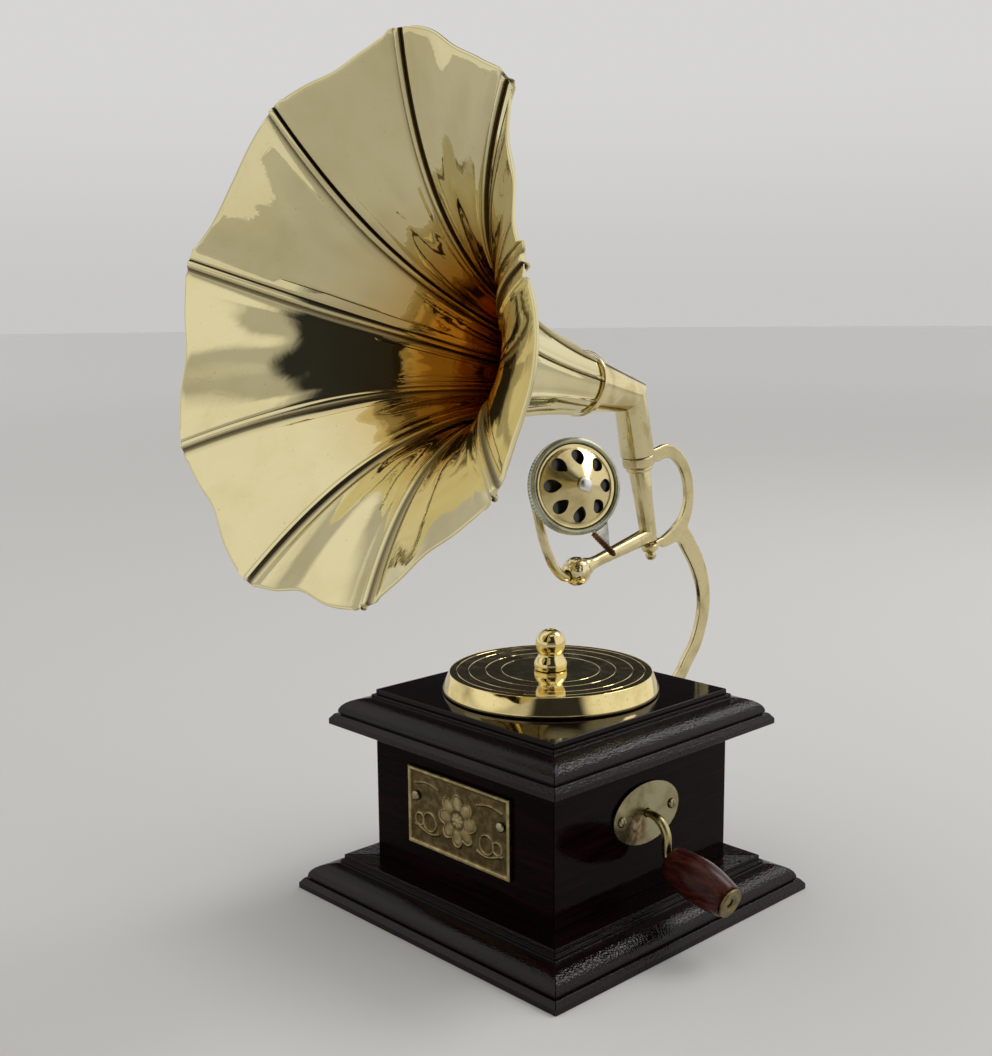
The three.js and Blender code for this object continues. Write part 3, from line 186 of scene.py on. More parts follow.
class Finish(Nodes):
    """One material, with short calls for its surface."""

    def __init__(self, name, **values):
        self.material = bpy.data.materials.new(name)
        self.material.use_nodes = True
        super().__init__(self.material.node_tree)
        self.surface = self.tree.nodes["Principled BSDF"]
        self.place = self.node("ShaderNodeTexCoord").outputs["Object"]
        for socket, value in values.items():
            self.surface.inputs[socket.replace("_", " ")].default_value = value

    def driven(self, **sources):
        """The material, with these sockets of its surface wired."""
        for socket, source in sources.items():
            self.wire(source, self.surface.inputs[socket.replace("_", " ")])
        return self.material

    def noise(self, size, detail=3, stretch=(1, 1, 1), distortion=0):
        """Noise with features of about that size, longer along an axis where stretch says so."""
        mapping = self.node("ShaderNodeMapping")
        mapping.inputs["Scale"].default_value = [1 / share for share in stretch]
        self.wire(self.place, mapping.inputs["Vector"])
        texture = self.node("ShaderNodeTexNoise")
        for socket, value in (("Scale", 1 / (size * MM)), ("Detail", detail), ("Distortion", distortion)):
            texture.inputs[socket].default_value = value
        self.wire(mapping.outputs["Vector"], texture.inputs["Vector"])
        return texture.outputs["Fac"]

    def patches(self, size, detail, low, high, to_low=0.0, to_high=1.0):
        return self.remap(self.noise(size, detail), low, high, to_low, to_high)

    def cells(self, size):
        """Distance to the nearest of scattered points about that far apart."""
        texture = self.node("ShaderNodeTexVoronoi")
        texture.inputs["Scale"].default_value = 1 / (size * MM)
        self.wire(self.place, texture.inputs["Vector"])
        return texture.outputs["Distance"]

    def attribute(self, name):
        return self.node("ShaderNodeAttribute", attribute_name=name).outputs["Fac"]

    def combine(self, operation, first, second):
        made = self.node("ShaderNodeMath", operation=operation)
        for socket, value in zip(made.inputs, (first, second)):
            if isinstance(value, (int, float)):
                socket.default_value = value
            else:
                self.wire(value, socket)
        return made.outputs[0]

    def bump(self, height, depth, under=None):
        made = self.node("ShaderNodeBump")
        made.inputs["Distance"].default_value = depth * MM
        self.wire(height, made.inputs["Height"])
        if under is not None:
            self.wire(under, made.inputs["Normal"])
        return made.outputs["Normal"]


def lacquered_wood(name, along, coat_ior, coat_roughness, pebble_depth):
    """Near-black mahogany under gloss lacquer, with its grain along an axis."""
    finish = Finish(name, Specular_IOR_Level=0, Coat_Weight=1, Coat_Roughness=coat_roughness,
                    Coat_IOR=coat_ior)
    stretch = tuple(14 if axis == along else 1 for axis in "xyz")
    grain = finish.noise(1.6, 5, stretch, 0.6)
    pores = finish.noise(0.35, 2, stretch)
    figure = finish.mix(finish.remap(grain, 0.35, 0.75), WOOD_SHADOW, WOOD_FIGURE)
    colour = finish.mix(finish.remap(pores, 0.6, 0.75), figure, WOOD_PORE)
    gloss = finish.patches(9, 3, 0.3, 0.7, 0.22, 0.36)
    peel = finish.bump(finish.noise(7, 2), 0.05)
    pebbles = finish.bump(finish.cells(0.55), pebble_depth, peel)
    lines = finish.bump(pores, 0.012, pebbles)
    return finish.driven(Base_Color=colour, Roughness=gloss, Normal=lines, Coat_Normal=pebbles)


def grip_wood():
    """Reddish turned wood, with pale scratches under its polish."""
    finish = Finish("grip_wood", Specular_IOR_Level=0.1, Coat_Weight=1, Coat_Roughness=0.17, Coat_IOR=1.15)
    grain = finish.noise(1.1, 5, (9, 1, 1), 0.8)
    scratches = finish.remap(finish.noise(0.3, 2, (1, 8, 1)), 0.68, 0.74)
    figure = finish.mix(finish.remap(grain, 0.35, 0.7), GRIP_SHADOW, GRIP_FIGURE)
    colour = finish.mix(scratches, figure, GRIP_SCRATCH)
    gloss = finish.patches(4, 3, 0.3, 0.7, 0.2, 0.38)
    waves = finish.bump(finish.noise(3, 2), 0.05)
    lines = finish.bump(grain, 0.02, waves)
    polish = finish.bump(scratches, 0.01, waves)
    return finish.driven(Base_Color=colour, Roughness=gloss, Normal=lines, Coat_Normal=polish)


def metal(name, bright, dull, smooth, rough, grain_size, grain_depth, wave_depth=0.0):
    """A metal whose colour and gloss vary, with fine marks and, where asked, soft waves."""
    finish = Finish(name, Metallic=1)
    clouds = finish.noise(7, 4, distortion=0.4)
    specks = finish.patches(0.8, 3, 0.62, 0.74)
    tone = finish.mix(finish.remap(clouds, 0.42, 0.75), bright, dull)
    colour = finish.mix(specks, tone, dull)
    gloss = finish.patches(3.5, 4, 0.35, 0.75, smooth, rough)
    waves = finish.bump(finish.noise(4.5, 2), wave_depth) if wave_depth else None
    grain = finish.bump(finish.noise(grain_size, 3), grain_depth, waves)
    return finish.driven(Base_Color=colour, Roughness=gloss, Normal=grain)


def horn_brass():
    """Polished pale sheet, with shade painted dark into its seams and beside them, and amber inter-reflection
    and brown shade painted down the inside of the throat.
    """
    finish = Finish("horn_brass", Metallic=1)
    clouds = finish.remap(finish.noise(16, 4, distortion=0.5), 0.4, 0.75)
    pale = finish.mix(clouds, SHEET_PALE, SHEET_CLOUD)
    # Painted amber inter-reflection, then painted brown shade, deeper down the inside of the throat
    throat = finish.attribute("throat")
    amber = finish.mix(finish.remap(throat, 0.18, 0.53), pale, THROAT_PAINTED_AMBER)
    brown = finish.mix(finish.remap(throat, 0.55, 0.92), amber, THROAT_PAINTED_BROWN)
    specks = finish.patches(0.7, 3, 0.69, 0.76, 0.0, 0.5)
    spotted = finish.mix(specks, brown, SHEET_SPECK)
    # Painted shade in the seams' grooves and on the soft strips beside them
    seams = finish.remap(finish.attribute("seam_shade"), 0.0, 1.0, 0.0, 0.94)
    colour = finish.mix(seams, spotted, SEAM_PAINTED_SHADE)
    clean = finish.patches(11, 4, 0.35, 0.75, 0.02, 0.07)
    gloss = finish.combine("MAXIMUM", clean, finish.combine("MULTIPLY", seams, 0.4))
    waves = finish.bump(finish.noise(7, 3, distortion=0.7), 0.045)
    grain = finish.bump(finish.noise(0.9, 3), 0.0012, waves)
    return finish.driven(Base_Color=colour, Roughness=gloss, Normal=grain)


def hammered_brass():
    """Bright brass beaten all over with a small round hammer."""
    finish = Finish("hammered_brass", Metallic=1, Roughness=0.13)
    colour = finish.mix(finish.patches(2.5, 3, 0.4, 0.7), BALL_BRIGHT, BALL_DULL)
    return finish.driven(Base_Color=colour, Normal=finish.bump(finish.cells(1.0), 0.15))


def antique_brass():
    """Darkened brass, bright where the relief stands proud."""
    finish = Finish("antique_brass", Metallic=1)
    worn = finish.remap(finish.attribute("relief"), 0.25, 0.9)
    patches = finish.patches(2.2, 4, 0.4, 0.68)
    colour = finish.mix(worn, finish.mix(patches, *RELIEF_LOW), finish.mix(patches, *RELIEF_HIGH))
    gloss = finish.patches(1.3, 3, 0.35, 0.7, 0.3, 0.5)
    grit = finish.bump(finish.noise(0.42, 3), 0.035)
    waves = finish.bump(finish.noise(1.6, 2), 0.05, grit)
    return finish.driven(Base_Color=colour, Roughness=gloss, Normal=waves)


def blotched_brass():
    """The crank plate's brass, with a brown patch before and below the rod."""
    finish = Finish("blotched_brass", Metallic=1)
    clouds = finish.remap(finish.noise(7, 4, distortion=0.4), 0.42, 0.75)
    tone = finish.mix(clouds, PLATE_BRIGHT, PLATE_DULL)
    away = finish.measure("DISTANCE", finish.place, Vector(BLOTCH_SPOT) * MM)
    near = finish.remap(away, BLOTCH_REACH[0] * MM, BLOTCH_REACH[1] * MM, 1.0, 0.0)
    # A noisy brown patch, strongest near its middle
    blotch = finish.combine("MULTIPLY", near, finish.patches(2.4, 4, 0.32, 0.56))
    colour = finish.mix(blotch, tone, PLATE_BLOTCH)
    gloss = finish.patches(3.5, 4, 0.35, 0.75, 0.2, 0.36)
    waves = finish.bump(finish.noise(4.5, 2), 0.03)
    grain = finish.bump(finish.noise(0.45, 3), 0.006, waves)
    return finish.driven(Base_Color=colour, Roughness=gloss, Normal=grain)


def mica():
    """The dark sheet behind the sound box's holes."""
    finish = Finish("mica", Roughness=0.28, Coat_Weight=0.4)
    flakes = finish.remap(finish.cells(1.7), 0.1, 0.5)
    colour = finish.mix(flakes, MICA_DARK, MICA_FLAKE)
    return finish.driven(Base_Color=colour, Normal=finish.bump(flakes, 0.01))


materials = {name: lacquered_wood(name, *values) for name, values in LACQUERS.items()}
materials.update((name, metal(name, *values)) for name, values in METALS.items())
for make in (grip_wood, horn_brass, hammered_brass, antique_brass, blotched_brass, mica):
    materials[make.__name__] = make()


# Mesh code


def rounded(points, radius, steps=4, loop=True):
    """An outline with its corners rounded; loop says that it closes on itself."""
    result = []
    for i, point in enumerate(points):
        corner = Vector(point)
        if not loop and i in (0, len(points) - 1):
            result.append(corner)
            continue
        before = Vector(points[i - 1]) - corner
        after = Vector(points[(i + 1) % len(points)]) - corner
        if math.degrees(before.angle(after)) > STRAIGHT_DEGREES:
            result.append(corner)
            continue
        reach = min(radius, before.length * 0.45, after.length * 0.45)
        start = corner + before.normalized() * reach
        end = corner + after.normalized() * reach
        for k in range(steps + 1):
            share = k / steps
            result.append(start.lerp(corner, share).lerp(corner.lerp(end, share), share))
    return result


def arc(middle, radius, from_degrees, to_degrees, steps, height=None):
    """Points on part of a circle, or of an ellipse where its height isn't its radius."""
    result = []
    for k in range(steps + 1):
        angle = math.radians(from_degrees + (to_degrees - from_degrees) * k / steps)
        up = (height or radius) * math.sin(angle)
        result.append((middle[0] + radius * math.cos(angle), middle[1] + up))
    return result


def circle(radius, sides=32):
    return arc((0, 0), radius, 0, 360, sides)[:-1]


def curve_through(points, steps):
    """A smooth centripetal curve through the points, with that many steps between each two."""
    points = [Vector(p) for p in points]
    knots = [2 * points[0] - points[1], *points, 2 * points[-1] - points[-2]]
    result = []
    for p0, p1, p2, p3 in zip(knots, knots[1:], knots[2:], knots[3:]):
        d0, d1, d2 = (math.sqrt((b - a).length) for a, b in ((p0, p1), (p1, p2), (p2, p3)))
        out = ((p1 - p0) / d0 - (p2 - p0) / (d0 + d1) + (p2 - p1) / d1) * d1
        into = ((p2 - p1) / d1 - (p3 - p1) / (d1 + d2) + (p3 - p2) / d2) * d1
        for k in range(steps):
            t = k / steps
            rise, fall = t * t * (3 - 2 * t), t * (1 - t)
            result.append(p1 * (1 - rise) + p2 * rise + out * (fall * (1 - t)) - into * (fall * t))
    return [*result, points[-1]]


def block(left, right, low, high):
    """A four-cornered outline."""
    return [(left, low), (right, low), (right, high), (left, high)]


def raised(outline, level):
    """The outline moved up to that level."""
    return [(across, level + up) for across, up in outline]


def wrap(rows, count, loop=False):
    """Faces between rows of that many points each; loop says that the last row meets the first."""
    faces = []
    for row in range(rows if loop else rows - 1):
        low, high = row * count, (row + 1) % rows * count
        for k in range(count):
            after = (k + 1) % count
            faces.append((low + k, low + after, high + after, high + k))
    return faces


def grid(rows, columns, first=0, turned=False):
    """Faces of an open grid of points, seen from its other side where turned."""
    faces = []
    for row in range(rows - 1):
        for a in range(first + row * columns, first + (row + 1) * columns - 1):
            b = a + columns
            faces.append((a, b, b + 1, a + 1) if turned else (a, a + 1, b + 1, b))
    return faces


def edge_of(rows, columns):
    """The points round the edge of a grid, in turn."""
    last = (rows - 1) * columns
    return [*range(columns), *range(2 * columns - 1, last + columns, columns),
            *range(last + columns - 2, last - 1, -1), *range(last - columns, 0, -columns)]


def walls(ring, other):
    """Faces between two closed rings of as many points."""
    return [(ring[k], other[k], other[k - 1], ring[k - 1]) for k in range(len(ring))]


def ends(rows, count):
    """The first and the last of the rows, each as one face."""
    return [tuple(range(count)), tuple(range((rows - 1) * count, rows * count))]


def lathe(profile, sides=96, loop=True, reach_at=None):
    """A turned shape about Z from (radius, height) points; reach_at may change a radius by its angle."""
    verts = []
    for radius, height in profile:
        for k in range(sides):
            angle = math.tau * k / sides
            reach = reach_at(radius, angle) if reach_at else radius
            verts.append(Vector((reach * math.cos(angle), reach * math.sin(angle), height)))
    return verts, wrap(len(profile), sides, loop)


def sweep(path, outlines, side):
    """A bar along a path with mitred corners; each point of the path has an outline across it."""
    path = [Vector(p) for p in path]
    side = Vector(side)
    runs = [(b - a).normalized() for a, b in zip(path, path[1:])]
    verts = []
    for i, point in enumerate(path):
        run, following = runs[max(i - 1, 0)], runs[min(i, len(runs) - 1)]
        facing = (run + following).normalized()
        up = run.cross(side)
        for across, rise in outlines[i]:
            offset = side * across + up * rise
            verts.append(point + offset - run * (facing.dot(offset) / facing.dot(run)))
        side = run.rotation_difference(following) @ side
    size = len(path), len(outlines[0])
    return verts, ends(*size) + wrap(*size)


def slab(outline, low, high, edge=0.12):
    """A flat piece in X and Y with its outer edges eased."""
    rows = ((1, low), (0, low + edge), (0, high - edge), (1, high))
    count = len(outline)
    verts = []
    for eased, level in rows:
        for i, point in enumerate(outline):
            before, after = Vector(outline[i - 1]), Vector(outline[(i + 1) % count])
            inward = Vector(((before - after).y, (after - before).x)).normalized()
            spot = Vector(point) + inward * (edge * eased)
            verts.append(Vector((spot.x, spot.y, level)))
    return verts, ends(len(rows), count) + wrap(len(rows), count)


def merged(*parts):
    """One shape of several closed ones, each with its place."""
    verts, faces = [], []
    for place, (points, polygons) in parts:
        start = len(verts)
        verts += [place @ Vector(point) for point in points]
        faces += [tuple(start + i for i in polygon) for polygon in polygons]
    return verts, faces


def add_object(name, data):
    made = bpy.data.objects.new(name, data)
    bpy.context.scene.collection.objects.link(made)
    return made


def add_mesh(name, shape, place=STEADY):
    """An object of these points and faces, with nothing mended."""
    verts, faces = shape
    mesh = bpy.data.meshes.new(name)
    mesh.from_pydata([place @ Vector(v) * MM for v in verts], [], faces)
    return add_object(name, mesh)


def bare_object(name, shape, place=STEADY):
    """An object without twin points, with its faces turned outwards."""
    made = add_mesh(name, shape, place)
    shell = bmesh.new()
    shell.from_mesh(made.data)
    bmesh.ops.remove_doubles(shell, verts=shell.verts, dist=TWIN_REACH * MM)
    bmesh.ops.dissolve_degenerate(shell, edges=shell.edges, dist=TWIN_REACH * MM)
    bmesh.ops.recalc_face_normals(shell, faces=shell.faces)
    shell.to_mesh(made.data)
    shell.free()
    return made


def dress(made, body, material, slot, *nodes):
    """Gives an object its finish and its body, and hides the nodes of the frame that it stands for."""
    mesh = made.data
    mesh.polygons.foreach_set("use_smooth", [True] * len(mesh.polygons))
    mesh.set_sharp_from_angle(angle=math.radians(SMOOTH_DEGREES))
    mesh.materials.clear()
    mesh.materials.append(materials[material])
    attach(made, body)
    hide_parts(*nodes)
    return made


def piece(name, shape, place, *looks):
    """One visible piece; its looks are the body, the finish, the slot, which is not used, and the nodes that
    it stands for.
    """
    return dress(bare_object(name, shape, place), *looks)


def add_values(made, name, values):
    layer = made.data.attributes.new(name, "FLOAT", "POINT")
    layer.data.foreach_set("value", values)


def ease(made, width, from_degrees):
    """Rounds the edges that are sharper than that angle."""
    flat = made.modifiers.new("flat", "DECIMATE")
    flat.decimate_type = "DISSOLVE"
    flat.angle_limit = math.radians(FLAT_DEGREES)
    edges = made.modifiers.new("edges", "BEVEL")
    edges.width, edges.segments, edges.limit_method = width * MM, 3, "ANGLE"
    edges.angle_limit = math.radians(from_degrees)
    made.modifiers.new("close", "WELD").merge_threshold = WELD_REACH * MM
    even = made.modifiers.new("even", "WEIGHTED_NORMAL")
    even.weight = 100
    even.keep_sharp = True


def carved(base, tools, operation):
    """The base with its tools joined on or cut out, as one mesh; the tools go."""
    for tool in tools:
        step = base.modifiers.new("step", "BOOLEAN")
        step.operation, step.solver, step.object = operation, "EXACT", tool
    base.modifiers.new("weld", "WELD").merge_threshold = WELD_REACH * MM
    bpy.context.view_layer.update()
    result = bpy.data.meshes.new_from_object(base.evaluated_get(bpy.context.evaluated_depsgraph_get()))
    base.modifiers.clear()
    base.data = result
    for tool in tools:
        bpy.data.objects.remove(tool)
    return base


# Horn

PETALS = 9
PETAL_ROWS = 84
PETAL_COLUMNS = 34
HORN_START = 20.55
HORN_LENGTH = 85
THROAT_RADIUS = 7.4
RIM_RADIUS = 67.7
FLARE_RATE = 3
REACH_GROWTH = 1.6
FIRST_SEAM_DEGREES = 88
SEAM_DRIFT_DEGREES = [-3.6, -1.3, -0.9, 0.9, 3, 2.8, 1.2, 3.5, 0.1]
# Reach of the rim at each seam, then a quarter, half and three quarters of the way to the next
RIM_SHARES = [
    (1.004, 0.955, 0.928, 0.96),
    (0.998, 0.985, 0.965, 0.978),
    (1.056, 1.016, 0.962, 0.998),
    (1.01, 0.97, 0.932, 0.975),
    (1, 0.974, 0.94, 0.985),
    (1.01, 0.985, 0.965, 0.998),
    (1.033, 1.01, 0.996, 0.955),
    (0.885, 0.853, 0.886, 0.915),
    (1.01, 0.99, 0.978, 1.004),
]
SHEET = 0.75
# Across a seam: distance from its line and height off the sheet's inner face, outwards positive
FOLD_INSIDE = [(-1.1, 0.5), (-0.06, 0.46), (0, -0.42), (0.12, -0.62), (0.6, -0.76), (1.3, -0.74),
               (1.65, -0.56), (2, -0.14), (2.5, 0.2), (3.4, 0.24), (4.6, 0.08)]
FOLD_OUTSIDE = [(-1.1, 1.45), (-0.75, 1.8), (-0.25, 1.75), (0, 1.4), (0.25, 0.95),
                *((across, SHEET) for across in (0.7, 1.3, 2, 2.5, 3.4, 4.6))]
# How much painted shade each point across a seam takes: full in the groove, and more again on the soft strip
# past the fold
FOLD_PAINTED_SHADE_SHARES = [1, 1, 1, 0.35, 0.05, 0.05, 0.3, 0.8, 0.7, 0.3, 0.06]
FOLD_FULL_RADIUS = 34
FOLD_START_LENGTH = 6
LIP_INSIDE = [(-3, 0), (-1.6, 0), (-1.3, 0.02), (-0.45, 0.02), (-0.3, 0.1)]
LIP_OUTSIDE = [(-3, SHEET), (-1.6, SHEET), (-1.3, 0.42), (-0.45, 0.36), (-0.3, 0.3)]
# How much painted shade each point of a petal's far lip takes, full at the groove
LIP_PAINTED_SHADE_SHARES = [0, 0.02, 0.05, 0.25, 1]
LIP_EASE = 0.06
# How much of the seams' painted shade the outer face takes
OUTSIDE_PAINTED_SHADE_SHARE = 0.3
# The last rows: distance from the rim, and how far each face of the sheet draws in there
RIM_ROWS = [(0.5, 0), (0.26, 0.1), (0.18, 0.26)]
# Size and height of the sheet's soft waves, and how far apart two petals' waves start
WAVES = [(17, 0.32), (6, 0.1)]
WAVES_APART = (40, 9)
CRUMPLE_SHARES = [1.5, 1.9, 1.6, 0.5, 0.4, 0.6, 1, 1, 1.2]
CALM_AREA = 110
# Dents: petal, share across, share along, size and depth
DENTS = [(1, 0.3, 0.8, 9, 0.5), (1, 0.75, 0.66, 7, -0.35), (2, 0.35, 0.86, 10, 0.6), (2, 0.7, 0.74, 8, -0.5),
         (0, 0.5, 0.78, 9, -0.4), (0, 0.25, 0.9, 6, 0.25), (3, 0.5, 0.8, 12, 0.35), (4, 0.4, 0.7, 11, -0.3),
         (5, 0.6, 0.75, 10, 0.3), (6, 0.5, 0.7, 9, 0.3), (7, 0.5, 0.75, 8, -0.35), (8, 0.4, 0.7, 9, -0.35)]


def bell_radius(along):
    swell = (math.exp(FLARE_RATE * along / HORN_LENGTH) - 1) / (math.exp(FLARE_RATE) - 1)
    return THROAT_RADIUS + (RIM_RADIUS - THROAT_RADIUS) * swell


def bell_slope(along):
    swell = math.exp(FLARE_RATE * along / HORN_LENGTH) / (math.exp(FLARE_RATE) - 1)
    return (RIM_RADIUS - THROAT_RADIUS) * FLARE_RATE * swell / HORN_LENGTH


def seam_angle(i):
    seam = i % PETALS
    return math.radians(FIRST_SEAM_DEGREES + SEAM_DRIFT_DEGREES[seam] + 360 * i / PETALS)


def rim_share(petal, across):
    knots = [share for shares in RIM_SHARES for share in shares]
    spot = 4 * (petal + across)
    k, t = int(spot // 1), spot % 1
    a, b, c, d = (knots[(k + n) % len(knots)] for n in (-1, 0, 1, 2))
    bend, twist = 2 * a - 5 * b + 4 * c - d, 3 * b - a - 3 * c + d
    return 0.5 * (2 * b + (c - a) * t + bend * t * t + twist * t ** 3)


def crumple(petal, across, along):
    """Soft waves and dents of the thin sheet, strongest towards the rim."""
    share = along / HORN_LENGTH
    span = bell_radius(along) * math.tau / PETALS
    calm = min(1, across * (1 - across) * span * span / CALM_AREA)
    spot = Vector((across * span + WAVES_APART[0] * petal, along, WAVES_APART[1] * petal))
    height = CRUMPLE_SHARES[petal] * sum(high * noise.noise(spot / size) for size, high in WAVES)
    for owner, dent_across, dent_along, size, depth in DENTS:
        if owner == petal:
            off = math.hypot((across - dent_across) * span, along - dent_along * HORN_LENGTH) / size
            height += depth * math.exp(-4 * off * off) * math.cos(3.2 * off)
    return height * calm * share * (1 - share ** 9)


def petal_point(petal, across, along, offset, shift):
    """A point of a petal, that far off its inner face and shifted that far round the horn."""
    growth = (along / HORN_LENGTH) ** REACH_GROWTH
    slope = bell_slope(along)
    steep = math.hypot(1, slope)
    radius = bell_radius(along) * (1 + (rim_share(petal, across) - 1) * growth) + offset / steep
    angle = seam_angle(petal) * (1 - across) + seam_angle(petal + 1) * across + shift / radius
    up = HORN_START + along - offset * slope / steep
    return Vector((radius * math.cos(angle), radius * math.sin(angle), up))


def petal_row(petal, along, ease):
    """One row across a petal: inner points, outer points, and how much of the seams' painted shade each point
    takes.
    """
    radius = bell_radius(along)
    narrow = 0.5 + 0.5 * min(1, radius / FOLD_FULL_RADIUS)
    fold_reach = FOLD_INSIDE[-1][0] * narrow
    span = radius * (seam_angle(petal + 1) - seam_angle(petal))
    inner, outer, seam_shade = [], [], []
    rise = min(1, along / FOLD_START_LENGTH)
    for (w, lift), (w_out, lift_out), shade_share in zip(FOLD_INSIDE, FOLD_OUTSIDE, FOLD_PAINTED_SHADE_SHARES):
        top = SHEET + (lift_out - SHEET) * rise
        inner.append(petal_point(petal, 0, along, lift * narrow + ease, w * narrow))
        outer.append(petal_point(petal, 0, along, top - ease, w_out * narrow))
        seam_shade.append(shade_share)
    lip_reach = -LIP_INSIDE[0][0] * narrow
    for column in range(1, PETAL_COLUMNS):
        width = fold_reach + (span - fold_reach - lip_reach) * column / PETAL_COLUMNS
        across = width / span
        height = crumple(petal, across, along)
        inner.append(petal_point(petal, across, along, height + ease, 0))
        outer.append(petal_point(petal, across, along, height + SHEET - ease, 0))
        seam_shade.append(0)
    for (w, lift), (w_out, lift_out), shade_share in zip(LIP_INSIDE, LIP_OUTSIDE, LIP_PAINTED_SHADE_SHARES):
        inner.append(petal_point(petal, 1, along, lift + min(ease, LIP_EASE), w * narrow))
        outer.append(petal_point(petal, 1, along, lift_out - min(ease, LIP_EASE), w_out * narrow))
        seam_shade.append(shade_share)
    return inner, outer, seam_shade


def petal_shape(petal):
    """A petal's points and faces, how much of the seams' painted shade each point takes, and how deep in the
    throat each point is, which sets the painted amber and brown inside.
    """
    rows = [(HORN_LENGTH * k / PETAL_ROWS, 0) for k in range(PETAL_ROWS)]
    rows += [(HORN_LENGTH - short, ease) for short, ease in RIM_ROWS]
    inner, outer, seam_shade, throat = [], [], [], []
    for along, ease in rows:
        low, high, shade_share = petal_row(petal, along, ease)
        inner += low
        outer += high
        seam_shade += shade_share
        throat += [1 - along / HORN_LENGTH] * len(shade_share)
    # The outer face takes a little of the seams' painted shade
    outer_seam_shade = [OUTSIDE_PAINTED_SHADE_SHARE * shade_share for shade_share in seam_shade]
    columns = len(inner) // len(rows)
    skin = len(inner)
    faces = grid(len(rows), columns, 0, True) + grid(len(rows), columns, skin)
    ring = edge_of(len(rows), columns)
    faces += walls(ring, [skin + i for i in ring])
    # Only the inner face takes the throat's painted amber and brown
    return (inner + outer, faces), seam_shade + outer_seam_shade, throat + [0] * skin


def dress_horn_petals():
    for i in range(PETALS):
        shape, seam_shade, throat = petal_shape(i)
        made = add_mesh(f"horn_petal_{i + 1}_sheet", shape, horn_place)
        # The painted shade at the seams, and the depth in the throat for the painted amber and brown inside
        add_values(made, "seam_shade", seam_shade)
        add_values(made, "throat", throat)
        dress(made, "horn", "horn_brass", "horn_brass", f"horn_petal_{i + 1}")


# Horn's neck and pipe

NECK_RADIUS = 5
NECK_END_RADIUS = 8.2
NECK_LENGTH = 20.4
PIPE_WALL = 0.9
TUBE_TOP_RADIUS = 4.65
TUBE_FOOT_RADIUS = 4.9
COLLAR_TOP = 1.5
GROOVE_HEIGHT = 0.3
PIPE_SIDES = 96
SPIGOT = [(2.1, -1.5), (3, -1.5), (3, 0), (4.5, 0), (4.5, 1.2), (2.1, 1.2)]
SPIGOT_EDGE = 0.1
THROAT_BAND = [(8.5, -0.95), (8.85, -0.95), (8.9, 0), (9.2, 0.15), (9.25, 0.6), (9, 0.9), (8.7, 0.9)]
THROAT_BAND_EDGE = 0.2


def mitred_tube(far_radius, near_radius, far, facing):
    """A tube from the level far to a plane through the origin, with its radii at those two."""
    verts = []
    way = math.copysign(math.tau, far)
    for wall, at_far in ((0, True), (0, False), (PIPE_WALL, False), (PIPE_WALL, True)):
        radius = (far_radius if at_far else near_radius) - wall
        for k in range(PIPE_SIDES):
            x, y = radius * math.cos(way * k / PIPE_SIDES), radius * math.sin(way * k / PIPE_SIDES)
            verts.append(Vector((x, y, far if at_far else -(facing.x * x + facing.y * y) / facing.z)))
    return verts, wrap(4, PIPE_SIDES, True)


def dress_horn_pipe():
    turn = math.radians(HORN_TURN_DEGREES)
    along_neck = Vector((0, -math.sin(turn), math.cos(turn)))
    facing = (along_neck + Vector((0, 0, 1))).normalized()
    neck = mitred_tube(NECK_END_RADIUS, NECK_RADIUS, NECK_LENGTH, Matrix.Rotation(-turn, 3, "X") @ facing)
    piece("horn_neck_pipe", neck, horn_place, "horn", "pipe_brass", "horn_brass", "horn_neck")
    foot = COLLAR_TOP + SEAT - ELBOW_HEIGHT
    tube = mitred_tube(TUBE_FOOT_RADIUS, TUBE_TOP_RADIUS, foot + GROOVE_HEIGHT, facing)
    pipe = bare_object("horn_down_pipe", tube, elbow_place)
    spigot = bare_object("spigot", lathe(rounded(raised(SPIGOT, foot), SPIGOT_EDGE)), elbow_place)
    dress(carved(pipe, [spigot], "UNION"), "horn", "pipe_brass", "horn_brass", "horn_down_tube")
    ring = lathe(rounded(raised(THROAT_BAND, NECK_LENGTH), THROAT_BAND_EDGE))
    piece("throat_band", ring, horn_place, "horn", "pipe_brass", "horn_brass", "throat_ring")


# Tone arm, ball and pivot

ARM_DROP = 22.9
ARM_REACH = 31.4
# Level on the leg, or distance from the ball, with the tube's radius there
ARM_LEG = [(-0.6, 3), (-3.1, 3), (-3.3, 3.1), (-12, 2.7), (-ARM_DROP, 2.45)]
ARM_TAPER = [(20, 2.1), (10.5, 1.75), (8.5, 1.72), (6.6, 1.85), (5, 2.25), (3.6, 2.75), (3, 2.8)]
ARM_BAND = [(3.15, -2.95), (3.7, -2.95), (3.9, -2.3), (3.7, -1.65), (3.15, -1.65)]
ARM_BAND_EDGE = 0.3
BALL_RADIUS = 4.1
BALL_MOUTH = 1.8
BALL_BORE = [(1.5, 3.4), (1.5, -3.4)]
NUT_RADIUS = 1.6
NUT_DROP = 1.44
NUT_TIP = 3.04
PIN_RADIUS = 0.8
PIN_LENGTH = 2.4
CROOK_RADIUS = 1.3
CROOK_START = [-33.5, -36.15]
# Places along the crook from the box's centre, as shares of the box's radius
CROOK_SHARES = [(-0.53, -0.42, -1.68), (-0.576, -0.55, -1.076), (-0.7, -0.48, -0.515), (-0.92, -0.28, -0.24),
                (-0.95, 0.02, -0.2)]
CROOK_END = [9.35, 6.9, 4.35]


